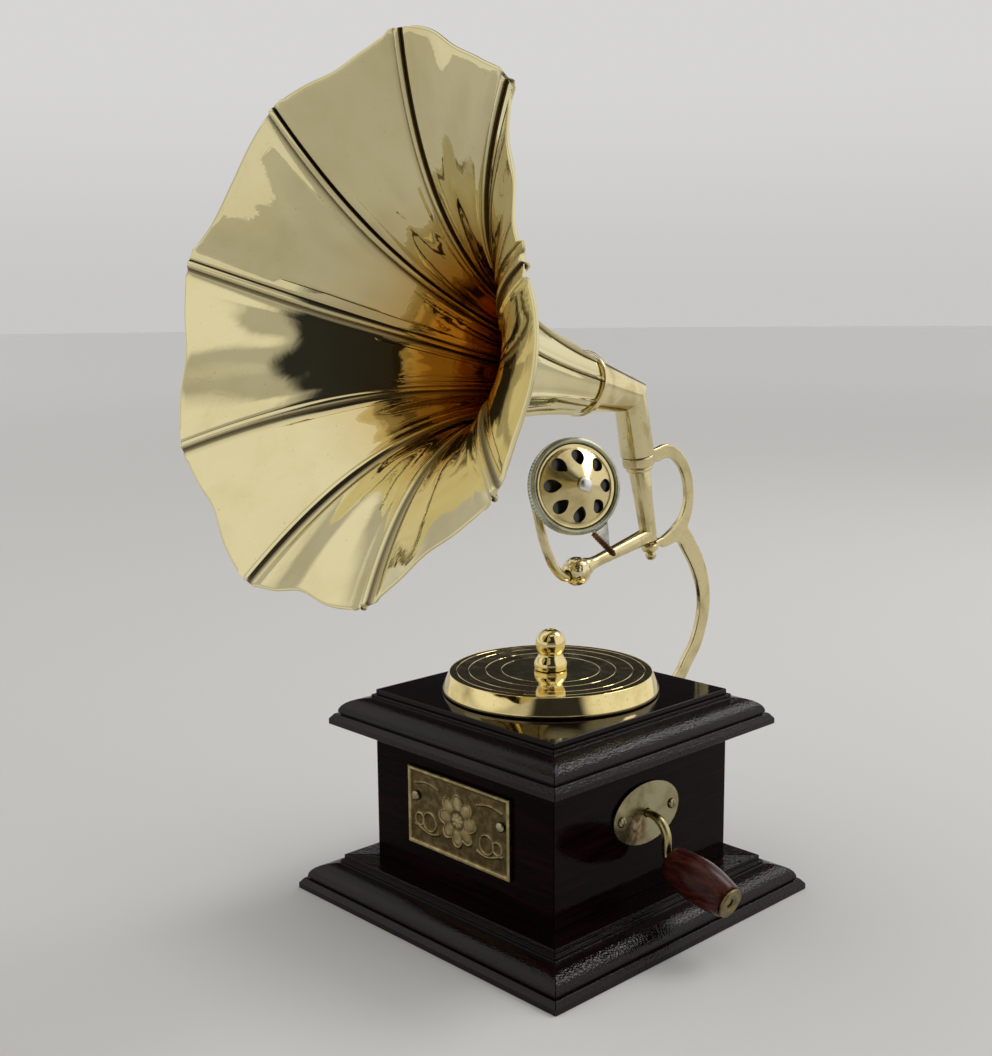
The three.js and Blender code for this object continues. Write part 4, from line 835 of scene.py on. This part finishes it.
def dress_tone_arm():
    looks = "arm", "cast_brass", "cast_brass"
    path = [(0, 0, level) for level, _ in ARM_LEG]
    path += [(0, away - ARM_REACH, -ARM_DROP) for away, _ in ARM_TAPER]
    outlines = [circle(radius, 48) for _, radius in ARM_LEG + ARM_TAPER]
    piece("tone_arm_tube", sweep(path, outlines, (1, 0, 0)), swivel_place, *looks, "tone_arm")
    piece("tone_arm_band", lathe(rounded(ARM_BAND, ARM_BAND_EDGE)), swivel_place, *looks, "tone_arm_ring")
    middle = Matrix.Translation((0, -ARM_REACH, -ARM_DROP))
    mouth = math.degrees(math.asin(BALL_MOUTH / BALL_RADIUS))
    ball = lathe([*arc((0, 0), BALL_RADIUS, mouth - 90, 90 - mouth, 40), *BALL_BORE])
    piece("arm_ball_hammered", ball, swivel_place @ middle @ Matrix.Rotation(math.pi / 2, 4, "X"), "arm",
          "hammered_brass", "bright_brass", "arm_ball")
    nut = [(0, -NUT_TIP), *arc((0, -NUT_DROP), NUT_RADIUS, -80, 55, 16), (PIN_RADIUS, 0),
           (PIN_RADIUS, PIN_LENGTH), (0, PIN_LENGTH)]
    seat = EYE_TOP - EYE_THICKNESS - SEAT
    piece("pivot_nut", lathe(raised(nut, seat), 48), swivel_place, *looks, "pivot_screw")


def dress_crook():
    centre, axis = Vector(BOX_PLACE), box_axis()
    route = [(0, along, -ARM_DROP) for along in CROOK_START]
    route += [centre + Vector(shares) * BOX_RADIUS for shares in CROOK_SHARES]
    route += [centre - axis * distance for distance in CROOK_END]
    path = curve_through(route, 12)
    shape = sweep(path, [circle(CROOK_RADIUS)] * len(path), (1, 0, 0))
    piece("crook_wire", shape, swivel_place, "crook", "cast_brass", "cast_brass", "crook")


# Bracket

# Places on the bracket's middle line as shares of its reach and of the collar's height, with its width
LOOP_SHARES = [(0.26, 1.008, 4.1), (0.385, 1.015, 4.1), (0.49, 1.006, 3.8), (0.574, 0.985, 3.6),
               (0.635, 0.958, 3.5), (0.67, 0.926, 3.5), (0.68, 0.893, 3.5), (0.665, 0.862, 3.8),
               (0.62, 0.833, 4.3), (0.54, 0.81, 4.8), (0.44, 0.795, 4), (0.35, 0.788, 3)]
STEM_SHARES = [(0.5, 0.798, 4.2), (0.56, 0.802, 5.2), (0.615, 0.795, 5.7), (0.7, 0.762, 5.7),
               (0.785, 0.725, 5.7), (0.85, 0.686, 5.5), (0.89, 0.645, 5.1), (0.9, 0.604, 4.9),
               (0.872, 0.558, 4.7), (0.795, 0.503, 4.6), (0.692, 0.465, 4.5), (0.62, 0.437, 4.5),
               (0.48, 0.395, 4.8), (0.3, 0.36, 5.2), (0.12, 0.335, 5.4), (0.03, 0.325, 5.4)]
BAND_STEPS = 9
LOOP_START = 3.6
LOOP_START_WIDTH = 3.2
LOOP_ROOT_WIDTH = 2.2
BRACKET_THICKNESS = 1.7
HUB_SHARES = (0.585, 0.798)
HUB_RADIUS = 2.5
COLLAR_RADII = (2.6, 4.6)
COLLAR_EDGE = 0.3
COLLAR_BORE = 3.3
EYE_TOP = -25.7
EYE_THICKNESS = 1.9
EYE_RADII = (1.1, 2.5)
EYE_EDGE = 0.25
EYE_INSET = 1.8
FOOT_LEVEL = 30
FOOT_THICKNESS = 2.4
FOOT_SIZE = (10, 22)
FOOT_CORNER = 2.2
FOOT_EDGE = 0.3
FOOT_HOLE_RADIUS = 0.85
FOOT_HOLE_LEVELS = [22.5, 31.5]
BORE_OVERRUN = 4
CAST_GRAIN = 0.22


def bracket_spot(shares):
    return Vector((0, BODY_HALF + shares[0] * BRACKET_REACH, shares[1] * SWIVEL_PLACE[2]))


def on_back(level):
    """A frame on the cabinet's back at that level, facing out of it."""
    return Matrix.Translation((0, BODY_HALF + SEAT, level)) @ Matrix.Rotation(-math.pi / 2, 4, "X")


def band(places, widths):
    """A flat bar on edge along a smooth curve, whose width changes evenly from place to place."""
    path = curve_through(places, BAND_STEPS)
    half = BRACKET_THICKNESS / 2
    outlines = []
    for i in range(len(path)):
        k, share = divmod(i / BAND_STEPS, 1)
        wide = widths[int(k)] * (1 - share) + widths[min(int(k) + 1, len(widths) - 1)] * share
        outlines.append(block(-half, half, -wide / 2, wide / 2))
    return STEADY, sweep(path, outlines, (1, 0, 0))


def bracket_bands():
    """The bar that loops from the collar to the eye, and the one that sweeps down to the foot."""
    eye_middle = EYE_TOP - EYE_THICKNESS / 2
    eye_root = swivel_place @ Vector((0, 2 * EYE_RADII[1], eye_middle))
    eye_edge = swivel_place @ Vector((0, EYE_INSET, eye_middle))
    places = [swivel_place @ Vector((0, LOOP_START, 0)), *map(bracket_spot, LOOP_SHARES), eye_root, eye_edge]
    widths = [LOOP_START_WIDTH, *(spot[2] for spot in LOOP_SHARES), LOOP_ROOT_WIDTH, EYE_THICKNESS]
    return band(places, widths), band(list(map(bracket_spot, STEM_SHARES)), [spot[2] for spot in STEM_SHARES])


def dress_bracket():
    half = BRACKET_THICKNESS / 2
    hub_place = Matrix.Translation(bracket_spot(HUB_SHARES)) @ Matrix.Rotation(math.pi / 2, 4, "Y")
    collar = rounded(block(*COLLAR_RADII, -COLLAR_TOP, COLLAR_TOP), COLLAR_EDGE)
    eye = rounded(block(*EYE_RADII, EYE_TOP - EYE_THICKNESS, EYE_TOP), EYE_EDGE)
    wide, tall = (size / 2 for size in FOOT_SIZE)
    foot = block(-wide, wide, -tall, tall)
    cast = bare_object("bracket_cast", merged(
        *bracket_bands(),
        (hub_place, slab(circle(HUB_RADIUS, 48), -half, half)),
        (swivel_place, lathe(collar)),
        (swivel_place, lathe(eye, 64)),
        (on_back(FOOT_LEVEL), slab(rounded(foot, FOOT_CORNER, 6), 0, FOOT_THICKNESS, FOOT_EDGE)),
    ))
    fuse = cast.modifiers.new("fuse", "REMESH")
    fuse.mode, fuse.voxel_size = "VOXEL", CAST_GRAIN * MM
    soften = cast.modifiers.new("soften", "SMOOTH")
    soften.factor, soften.iterations = 0.5, 9
    bores = [bare_object("bore", lathe(block(0, COLLAR_BORE, -BORE_OVERRUN, BORE_OVERRUN)), swivel_place)]
    hole = lathe(block(0, FOOT_HOLE_RADIUS, -1, BODY_HALF + BORE_OVERRUN))
    bores += [bare_object("hole", hole, on_back(level)) for level in FOOT_HOLE_LEVELS]
    dress(carved(cast, bores, "DIFFERENCE"), "cabinet", "cast_brass", "cast_brass", "bracket")


# Sound box

RIM_PROFILE = [(11.6, -2), (12.5, -2), (12.9, -1.6), (13.2, -1.35), (13.2, 0.75), (12.95, 1.05), (12.8, 1.1),
               (12.6, 1.5), (12.2, 1.6), (11.75, 1.3), (11.6, 1)]
RIM_EDGE = 0.12
KNURLS = 84
KNURL_DEPTH = 0.28
KNURL_BAND = 0.05
SHELL_PROFILE = [(1.45, -3.45), (1.45, -6.75), (3, -6.75), (3, -4.35), (9.4, -4.35), (12.6, -3.05),
                 (12.6, -2.15), (11.6, -2.15), (9.4, -3.45)]
SHELL_EDGE = 0.4
COVER_SEAT = 0.5
COVER_THICKNESS = 0.5
COVER_HEIGHT = 5.6
COVER_SHOULDER = COVER_SEAT + COVER_THICKNESS
COVER_APEX = COVER_SHOULDER + COVER_HEIGHT
COVER_BORE = 0.7
COVER_RADIUS = 11.4
COVER_PROFILE = [(10.4, COVER_SEAT), (COVER_RADIUS, COVER_SEAT), (COVER_RADIUS, COVER_SHOULDER),
                 (10.5, COVER_SHOULDER), (9.6, COVER_SHOULDER + 0.75), (2.4, COVER_APEX - 0.25),
                 (1.8, COVER_APEX)]
COVER_BEND = 0.6
COVER_HOLES = 8
FIRST_HOLE_DEGREES = -14
HOLE_CIRCLE = 8
HOLE_RADIUS = 1.8
HOLE_TIP = 2.45
HOLE_STEPS = 36
HOLE_EDGE = 0.13
HOLE_SHARP_DEGREES = 50
RIVET_RADIUS = 1.9
RIVET_SHANK = [(0, -0.45), (0.55, -0.45)]
RIVET_STEP = 0.55
RIVET_EDGE = 0.1
# Radius, height and level of the rivet's dome over the apex
RIVET_DOME = (1.75, 0.55, 0.6)
LUG_DEGREES = -73
LUG_LENGTH = 9
LUG_SPAN_DEGREES = (-60, -83)
LUG_THICKNESS = 1.3
LUG_EDGE = 0.2
NEEDLE_DEGREES = -59
NEEDLE_LENGTH = 9
NEEDLE_RADIUS = 0.86
NEEDLE_END_RADIUS = 0.5
NEEDLE_POINT = [(0.78, -0.95), (0.6, -0.5), (0.3, -0.1), (0, 0)]
NEEDLE_BARE = 2.4
RIPPLE_HEIGHT = 0.09
RIPPLE_SIZE = 0.13
RIPPLE_STEP = 0.06
RIPPLE_STEPS = range(4, 127)


def knurled(radius, angle):
    if radius < BOX_RADIUS - KNURL_BAND:
        return radius
    return radius - KNURL_DEPTH * (0.5 + 0.5 * math.cos(KNURLS * angle))


def drop_outline():
    """A drop with its tip towards the middle of the cover."""
    outline = []
    for k in range(HOLE_STEPS):
        angle = math.tau * k / HOLE_STEPS
        pull = max(0, -math.cos(angle)) ** 3
        outline.append((HOLE_CIRCLE + HOLE_RADIUS * math.cos(angle) - (HOLE_TIP - HOLE_RADIUS) * pull,
                        HOLE_RADIUS * math.sin(angle) * (1 - 0.25 * pull)))
    return outline


def dress_cover(place):
    profile = [(COVER_BORE, COVER_APEX - COVER_THICKNESS), *COVER_PROFILE, (COVER_BORE, COVER_APEX)]
    cover = bare_object("sound_box_cone", lathe(rounded(profile, COVER_BEND, 5), 160), place)
    holes = []
    for k in range(COVER_HOLES):
        turn = Matrix.Rotation(math.radians(FIRST_HOLE_DEGREES + 360 * k / COVER_HOLES), 4, "Z")
        holes.append(bare_object("hole", slab(drop_outline(), -1, COVER_APEX + 1, 0), place @ turn))
    dress(carved(cover, holes, "DIFFERENCE"), "sound_box", "cover_brass", "bright_brass", "sound_box_cover")
    ease(cover, HOLE_EDGE, HOLE_SHARP_DEGREES)
    head = COVER_APEX + SEAT
    neck = RIVET_SHANK[-1][0]
    rivet = [*RIVET_SHANK, (neck, head), (RIVET_RADIUS, head), (RIVET_RADIUS, COVER_APEX + RIVET_STEP)]
    rivet = rounded(rivet, RIVET_EDGE, 2, False)
    radius, height, level = RIVET_DOME
    rivet += map(Vector, arc((0, COVER_APEX + level), radius, 8, 90, 8, height))
    rivet = lathe(rivet, 48, False)
    piece("centre_rivet_head", rivet, place, "sound_box", "silver", "silver", "centre_rivet")


def dress_needle(place):
    lug = math.radians(LUG_DEGREES)
    spot = Vector((math.cos(lug), math.sin(lug), 0)) * (BOX_RADIUS + LUG_LENGTH)
    lean = Matrix.Rotation(math.radians(NEEDLE_DEGREES) - math.pi / 2, 4, "Z")
    needle_place = Matrix.Translation(spot) @ lean @ Matrix.Rotation(-math.pi / 2, 4, "X")
    levels = [RIPPLE_STEP * k - NEEDLE_LENGTH for k in RIPPLE_STEPS]
    ripples = [(NEEDLE_RADIUS + RIPPLE_HEIGHT * math.sin(level / RIPPLE_SIZE), level) for level in levels]
    back = [(0, -NEEDLE_LENGTH), (NEEDLE_END_RADIUS, -NEEDLE_LENGTH)]
    needle = lathe([*back, *ripples, *NEEDLE_POINT], 32, False)
    piece("needle_rough", needle, place @ needle_place, "sound_box", "bronze", "bronze", "needle")
    end = needle_place @ Vector((0, 0, -NEEDLE_BARE))
    fin = slab([*arc((0, 0), BOX_RADIUS + SEAT, *LUG_SPAN_DEGREES, 6), (end.x, end.y)], -LUG_THICKNESS / 2,
               LUG_THICKNESS / 2, LUG_EDGE)
    piece("needle_fin", fin, place, "sound_box", "worn_silver", "silver", "needle_lug")


def dress_sound_box():
    place = box_frame()
    rim = lathe(rounded(RIM_PROFILE, RIM_EDGE, 2), 4 * KNURLS, True, knurled)
    piece("sound_box_ring", rim, place, "sound_box", "dull_metal", "dull_metal", "sound_box_rim")
    dress_cover(place)
    dress_needle(place)
    shell = lathe(rounded(SHELL_PROFILE, SHELL_EDGE, 4))
    piece("sound_box_shell", shell, place, "sound_box", "cast_brass", "cast_brass", "sound_box_back")


# Turntable

PLATTER_TOP = PLATTER_BOTTOM + PLATTER_HEIGHT
# Over the platter's bottom, from its hub's bore round its edge
PLATTER_PROFILE = [(SPINDLE_BORE, 1.2), (6, 1.2), (6, 3.1), (27, 3.1), (27, 0), (30, 0), (30, 0.8),
                   (28.1, PLATTER_HEIGHT), (27.4, PLATTER_HEIGHT)]
PLATTER_EDGE = 0.22
GROOVE_RADII = [26, 22.7, 18, 13.6]
GROOVE_WIDTH = 0.24
GROOVE_DEPTH = 0.12
# Heights on the knob are over its foot
KNOB_FOOT = [(4.35, 0), (4.5, 0.15)]
KNOB_WAIST = [(4.5, 0.5), (4.58, 1.2), (4.5, 1.9), (4.1, 2.8), (3.55, 3.7), (3.35, 4.3)]
KNOB_BALL_RADIUS = 4.2
KNOB_BALL_LEVEL = 7.2
KNOB_BORE_LEVEL = 6.3
KNOB_TOP = [(0.95, 11.2), (0.75, 10.95), (0, 10.9)]


def dress_turntable():
    top = PLATTER_TOP
    profile = rounded(raised(PLATTER_PROFILE, PLATTER_BOTTOM), PLATTER_EDGE, 3, False)
    for radius in GROOVE_RADII:
        for across, depth in ((GROOVE_WIDTH / 2, 0), (0, GROOVE_DEPTH), (-GROOVE_WIDTH / 2, 0)):
            profile.append(Vector((radius + across, top - depth)))
    profile.append(Vector((SPINDLE_BORE, top)))
    looks = "turntable", "bright_brass", "bright_brass"
    piece("platter_disc", lathe(profile, 192), STEADY, *looks, "platter")
    waist = curve_through(raised(KNOB_WAIST, top + SEAT), 6)
    bore = [(0, KNOB_BORE_LEVEL), (SPINDLE_BORE, KNOB_BORE_LEVEL), (SPINDLE_BORE, 0), *KNOB_FOOT]
    ball = arc((0, KNOB_BALL_LEVEL), KNOB_BALL_RADIUS, -36, 72, 26)
    knob = [*raised(bore, top + SEAT), *waist, *raised(ball + KNOB_TOP, top + SEAT)]
    piece("knob_turned", lathe(knob, 96, False), STEADY, *looks, "turntable_knob")


# Crank

ROD_BEND_START = 36.2
BEND_RADIUS = 5.8
ROD_SWELL = 0.2
CRANK_DROP = 3.1
HANDLE_BEND_RADIUS = 2.2
HANDLE_DROOP_DEGREES = 16
ROD_INNER_END = 3.2
GRIP_LENGTH = 19
GRIP_RADII = (4.5, 5.75)
GRIP_STEPS = 24
# How far the grip's end draws in: from its radius, and from its face
GRIP_END = [(0.7, 0), (0.2, 0.15)]
GRIP_ROUND = 0.5
CAP_PROFILE = [(1.2, 0), (4, 0), (4, 0.6), (3.7, 0.8), (2.2, 0.7), (1.9, 0.45), (1.2, 0.45)]
CAP_EDGE = 0.12
CAP_WEAR_SHARE = 0.5


def handle_start():
    """Where the grip's axis starts, and how far it droops."""
    droop = math.radians(HANDLE_DROOP_DEGREES)
    x = ROD_BEND_START + BEND_RADIUS + HANDLE_BEND_RADIUS * (1 - math.sin(droop))
    z = CRANK_LEVEL - BEND_RADIUS - CRANK_DROP - HANDLE_BEND_RADIUS * math.cos(droop)
    return x, z, droop


def dress_crank_wire():
    x, z, droop = handle_start()
    run = SEAT + GRIP_LENGTH + SEAT
    upper = (ROD_BEND_START, CRANK_LEVEL - BEND_RADIUS)
    lower = (ROD_BEND_START + BEND_RADIUS + HANDLE_BEND_RADIUS, CRANK_LEVEL - BEND_RADIUS - CRANK_DROP)
    flat = [(ROD_INNER_END, CRANK_LEVEL), *arc(upper, BEND_RADIUS, 90, 0, 14),
            *arc(lower, HANDLE_BEND_RADIUS, 180, 270 - HANDLE_DROOP_DEGREES, 12),
            (x + run * math.cos(droop), z - run * math.sin(droop))]
    path = [(across, 0, up) for across, up in flat]
    outlines = [circle(ROD_RADIUS)]
    for k in range(1, len(path)):
        share = (k - 1) / (len(path) - 2)
        outlines.append(circle(ROD_RADIUS + ROD_SWELL * min(1, 5 * share, 8 * max(0, 0.92 - share))))
    wire = sweep(path, outlines, (0, 1, 0))
    piece("crank_wire", wire, STEADY, "crank", "rod_brass", "cast_brass", "crank_rod")


def dress_crank_grip():
    x, z, droop = handle_start()
    place = Matrix.Translation((x, 0, z)) @ Matrix.Rotation(math.pi / 2 + droop, 4, "Y")
    low, high = SEAT, SEAT + GRIP_LENGTH
    end, middle = GRIP_RADII
    bore = ROD_RADIUS + RUNNING_GAP
    swell = []
    for k in range(GRIP_STEPS + 1):
        share = k / GRIP_STEPS
        swell.append((end + (middle - end) * math.sin(math.pi * share),
                      low + GRIP_ROUND + (GRIP_LENGTH - 2 * GRIP_ROUND) * share))
    start = [(end - inward, low + off) for inward, off in GRIP_END]
    finish = [(end - inward, high - off) for inward, off in reversed(GRIP_END)]
    profile = [(bore, low), *start, *swell, *finish, (bore, high)]
    piece("grip_turned", lathe(profile), place, "grip", "grip_wood", "grip_wood", "crank_grip")
    cap = lathe(rounded(raised(CAP_PROFILE, high + SEAT), CAP_EDGE, 2), 64)
    made = piece("grip_cap_disc", cap, place, "crank", "antique_brass", "antique_brass", "grip_end_cap")
    add_values(made, "relief", [CAP_WEAR_SHARE] * len(made.data.vertices))


# Nameplate: a sheet pressed in relief, with a plain rosette between scrolls

PLATE_SIZE = (39.6, 21.8)
PLATE_LEVEL = 29.6
PLATE_GRID = (198, 110)
BORDER_WIDTH = 0.9
BORDER_SLOPE = 0.35
BORDER_EDGE = 0.5
FIELD_LEVEL = 0.72
RELIEF_HEIGHT = 0.5
GRAIN_HEIGHT = 0.03
ROSETTE_RADIUS = 7.2
ROSETTE_PETALS = 8
ROSETTE_SLOPE = 1.2
ROSETTE_GROOVE = (2.4, 0.8)
ROSETTE_HEART = 1.7
RIDGE_WIDTH = 0.45
# Distance of each curl from the middle, and its radius
CURLS = [(11.2, 2.6), (15.2, 1.7)]
CURL_LEVEL = -3.4
LINE_WIDTH = 0.42
LINE_SPAN = (7.2, 17.4)
# Each wavy line: its height, level, rise, the distance where its wave starts, and the wave's rate
LINES = [(0.75, -5.9, 0.8, 4, 0.45), (0.7, 6.9, -0.5, 6, 0.5)]
EDGE_WEAR_SHARE = 0.2


def ridge(distance, width):
    """A rounded ridge of that width about distance 0."""
    return math.exp(-(distance / width) ** 2 * 2)


def relief_at(x, y):
    """Height of the pressed pattern, from 0 on the field to 1 on its tops."""
    radius, angle = math.hypot(x, y), math.atan2(y, x)
    lobes = abs(math.cos(ROSETTE_PETALS * angle / 2))
    edge = ROSETTE_RADIUS * (0.72 + 0.28 * lobes)
    height = 0.0
    if radius < edge:
        groove, wide = ROSETTE_GROOVE
        height = 0.35 + 0.45 * min(1, (edge - radius) / ROSETTE_SLOPE) * (0.35 + 0.65 * lobes)
        height *= 0.4 + 0.6 * min(1, abs(radius - groove) / wide)
    height = max(height, ridge(radius - edge, RIDGE_WIDTH), ridge(radius, ROSETTE_HEART))
    for side in (-1, 1):
        for spot, size in CURLS:
            away = math.hypot(x - side * spot, y - CURL_LEVEL) - size
            height = max(height, 0.85 * ridge(away, LINE_WIDTH))
    if LINE_SPAN[0] < abs(x) < LINE_SPAN[1]:
        for high, level, rise, start, rate in LINES:
            away = y - level - rise * math.cos((abs(x) - start) * rate)
            height = max(height, high * ridge(away, LINE_WIDTH))
    return height


def plate_height(x, y):
    """Level and relief of the plate's face."""
    border = min(PLATE_SIZE[0] / 2 - abs(x), PLATE_SIZE[1] / 2 - abs(y))
    rim = max(0.0, min(1, (BORDER_WIDTH + BORDER_SLOPE - border) / BORDER_SLOPE))
    rim *= min(1, 0.6 + border / BORDER_EDGE)
    relief = relief_at(x, y)
    grain = GRAIN_HEIGHT * noise.noise(Vector((x * 1.4, y * 1.4, 3)))
    return FIELD_LEVEL + max(rim * RELIEF_HEIGHT, relief * RELIEF_HEIGHT) + grain, max(rim, relief)


def plate_shape():
    """The plate's points and faces, and the relief at each point."""
    columns, rows = PLATE_GRID
    verts, relief = [], []
    for row in range(rows + 1):
        for column in range(columns + 1):
            x = PLATE_SIZE[0] * (column / columns - 0.5)
            y = PLATE_SIZE[1] * (row / rows - 0.5)
            level, worn = plate_height(x, y)
            verts.append(Vector((x, y, level)))
            relief.append(worn)
    ring = edge_of(rows + 1, columns + 1)
    foot = range(len(verts), len(verts) + len(ring))
    verts += [Vector((verts[i].x, verts[i].y, SEAT)) for i in ring]
    relief += [EDGE_WEAR_SHARE] * len(ring)
    return (verts, [*grid(rows + 1, columns + 1), *walls(foot, ring), tuple(reversed(foot))]), relief


def dress_nameplate():
    shape, relief = plate_shape()
    place = Matrix.Translation((0, -BODY_HALF, PLATE_LEVEL)) @ Matrix.Rotation(math.pi / 2, 4, "X")
    made = add_mesh("nameplate_relief", shape, place)
    add_values(made, "relief", relief)
    dress(made, "cabinet", "antique_brass", "antique_brass", "nameplate")


# Carried-over nodes of the frame

NODE_FINISHES = {"dark_wood": "panel_x", "horn_brass": "pipe_brass"}
SPECIAL_FINISHES = {
    "top_board": "board_x",
    "nameplate_nail": "screw_brass",
    "crank_plate_screw": "screw_brass",
    "crank_plate": "blotched_brass",
}
EASED_EDGES = {"wall": 0.35, "moulding": 0.11, "board": 0.4, "plate": 0.12, "screw": 0.045, "wheel": 0}
OTHER_EDGE = 0.08
SHARP_DEGREES = 28


def node_finish(node, slot):
    for start, finish in SPECIAL_FINISHES.items():
        if node.startswith(start):
            return finish
    for word, kind in (("moulding", "moulding_"), ("wall", "panel_")):
        if word in node:
            return kind + ("x" if node.endswith(("front", "back")) else "y")
    return NODE_FINISHES.get(slot, slot)


def finish_nodes():
    """Gives every node of the frame its finish, and eases the edges of those that stay in sight."""
    slots = {part["node"]: part["material_slot"] for part in frame["record"]["subparts"]}
    for node, made in frame["nodes"].items():
        material = materials[node_finish(node, slots[node])]
        if not made.material_slots:
            made.data.materials.append(material)
        for held in made.material_slots:
            held.material = material
        made.data.polygons.foreach_set("use_smooth", [True] * len(made.data.polygons))
        made.modifiers.new("weld", "WELD").merge_threshold = WELD_REACH * MM
        width = next((value for word, value in EASED_EDGES.items() if word in node), OTHER_EDGE)
        if width:
            ease(made, width, SHARP_DEGREES)


# Studio

CAMERA_AZIMUTH = 46.47
CAMERA_ELEVATION = 9.23
CAMERA_ROLL = -0.49
CAMERA_DISTANCE = 376.1
CAMERA_ASIDE = -14.8
CAMERA_HEIGHT = 103.95
FOCAL_PIXELS = 1379.3
PICTURE_HEIGHT = 1056
SENSOR = 36
FLOOR_RADIUS = 9000
FLOOR_NEAR = (0.72, 0.715, 0.705)
FLOOR_FAR = (0.84, 0.834, 0.825)
FLOOR_CHANGE = (300, 3000)
LAMP_AZIMUTH = 163
LAMP_ELEVATION = 47
LAMP_DISTANCE = 1000
LAMP_AIM = 110
LAMP_SIZE = 400
LAMP_WATTS = 2.6
LAMP_COLOUR = (1, 0.98, 0.95)
ROOM_WALL = (0.67, 0.665, 0.66)
ROOM_HORIZON = (0.58, 0.575, 0.568)
ROOM_SHADE = (0.22, 0.218, 0.215)
ROOM_DARK = (0.03, 0.03, 0.032)
ROOM_GLOW = (0.54, 0.53, 0.515)
ROOM_BAND = (0.84, 0.83, 0.81)
ROOM_WINDOW = (0.95, 0.94, 0.92)
LEFT_WINDOW = (-0.707, -0.707, 0.3)
HIGH_WINDOW = (-0.38, -0.52, 0.766)
RIGHT_WINDOW = (0.643, 0.766, 0.25)
FRONT_SIDE = (0.72, -0.69, 0)
UP = (0, 0, 1)


def away_at(azimuth_degrees, elevation_degrees):
    """The direction from the object to a place; azimuth 0 is in front of it, 90 on the crank's side."""
    azimuth, elevation = math.radians(azimuth_degrees), math.radians(elevation_degrees)
    level = math.cos(elevation)
    return Vector((math.sin(azimuth) * level, -math.cos(azimuth) * level, math.sin(elevation)))


def add_camera():
    azimuth, roll = math.radians(CAMERA_AZIMUTH), math.radians(CAMERA_ROLL)
    back = away_at(CAMERA_AZIMUTH, CAMERA_ELEVATION)
    level = Vector((math.cos(azimuth), math.sin(azimuth), 0))
    up = back.cross(level)
    right = math.cos(roll) * level + math.sin(roll) * up
    above = math.cos(roll) * up - math.sin(roll) * level
    spot = level * CAMERA_ASIDE + Vector((0, 0, CAMERA_HEIGHT)) + back * CAMERA_DISTANCE
    data = bpy.data.cameras.new("camera")
    data.sensor_width = SENSOR
    data.lens = SENSOR * FOCAL_PIXELS / PICTURE_HEIGHT
    data.clip_start, data.clip_end = 0.01, 60
    camera = add_object("camera", data)
    camera.matrix_world = Matrix.Translation(spot * MM) @ Matrix((right, above, back)).transposed().to_4x4()
    bpy.context.scene.camera = camera


def add_floor():
    """A plain floor, a little paler far off than by the object."""
    outline = circle(FLOOR_RADIUS, 64)
    made = add_mesh("floor", ([(x, y, 0) for x, y in outline], [tuple(range(len(outline)))]))
    finish = Finish("floor", Roughness=0.6, Specular_IOR_Level=0.2)
    near, far = FLOOR_CHANGE
    change = finish.remap(finish.measure("LENGTH", finish.place), near * MM, far * MM)
    colour = finish.mix(change, FLOOR_NEAR, FLOOR_FAR)
    made.data.materials.append(finish.driven(Base_Color=colour, Normal=finish.bump(finish.noise(2.5), 0.02)))


def add_lamp():
    """A square soft lamp behind the object, aimed at its middle."""
    away = away_at(LAMP_AZIMUTH, LAMP_ELEVATION)
    data = bpy.data.lights.new("high", "AREA")
    data.shape, data.size, data.energy = "SQUARE", LAMP_SIZE * MM, LAMP_WATTS
    data.color = LAMP_COLOUR
    lamp = add_object("high", data)
    lamp.location = (Vector((0, 0, LAMP_AIM)) + away * LAMP_DISTANCE) * MM
    lamp.rotation_mode = "QUATERNION"
    lamp.rotation_quaternion = away.to_track_quat("Z", "Y")


def add_room():
    """A pale room with bright windows, dark above its walls and in shade behind the camera."""
    world = bpy.data.worlds.new("room")
    world.use_nodes = True
    bpy.context.scene.world = world
    room = Nodes(world.node_tree)
    direction = room.node("ShaderNodeTexCoord").outputs["Generated"]

    def towards(axis, low, high):
        """How far a direction lies towards that axis, from 0 at low to 1 at high."""
        return room.remap(room.measure("DOT_PRODUCT", direction, axis), low, high)

    walls = room.mix(towards(UP, 0.0, 0.16), ROOM_HORIZON, ROOM_WALL)
    walls = room.mix(towards(FRONT_SIDE, 0.2, 0.7), walls, ROOM_SHADE)
    walls = room.mix(towards(UP, 0.205, 0.245), walls, ROOM_DARK)
    glow = room.mix(towards(UP, 0.14, 0.3), ROOM_BAND, ROOM_GLOW)
    walls = room.mix(towards(LEFT_WINDOW, 0.4, 0.56), walls, glow)
    for axis, low, high in ((HIGH_WINDOW, 0.79, 0.87), (RIGHT_WINDOW, 0.5, 0.7), (UP, 0.86, 0.95)):
        walls = room.mix(towards(axis, low, high), walls, ROOM_WINDOW)
    room.wire(walls, world.node_tree.nodes["Background"].inputs["Color"])


# Assembly

dress_horn_petals()
dress_horn_pipe()
dress_tone_arm()
dress_crook()
dress_bracket()
dress_sound_box()
dress_turntable()
dress_crank_wire()
dress_crank_grip()
dress_nameplate()
finish_nodes()
add_floor()
add_room()
add_lamp()
add_camera()
bpy.context.scene.view_settings.view_transform = "Standard"
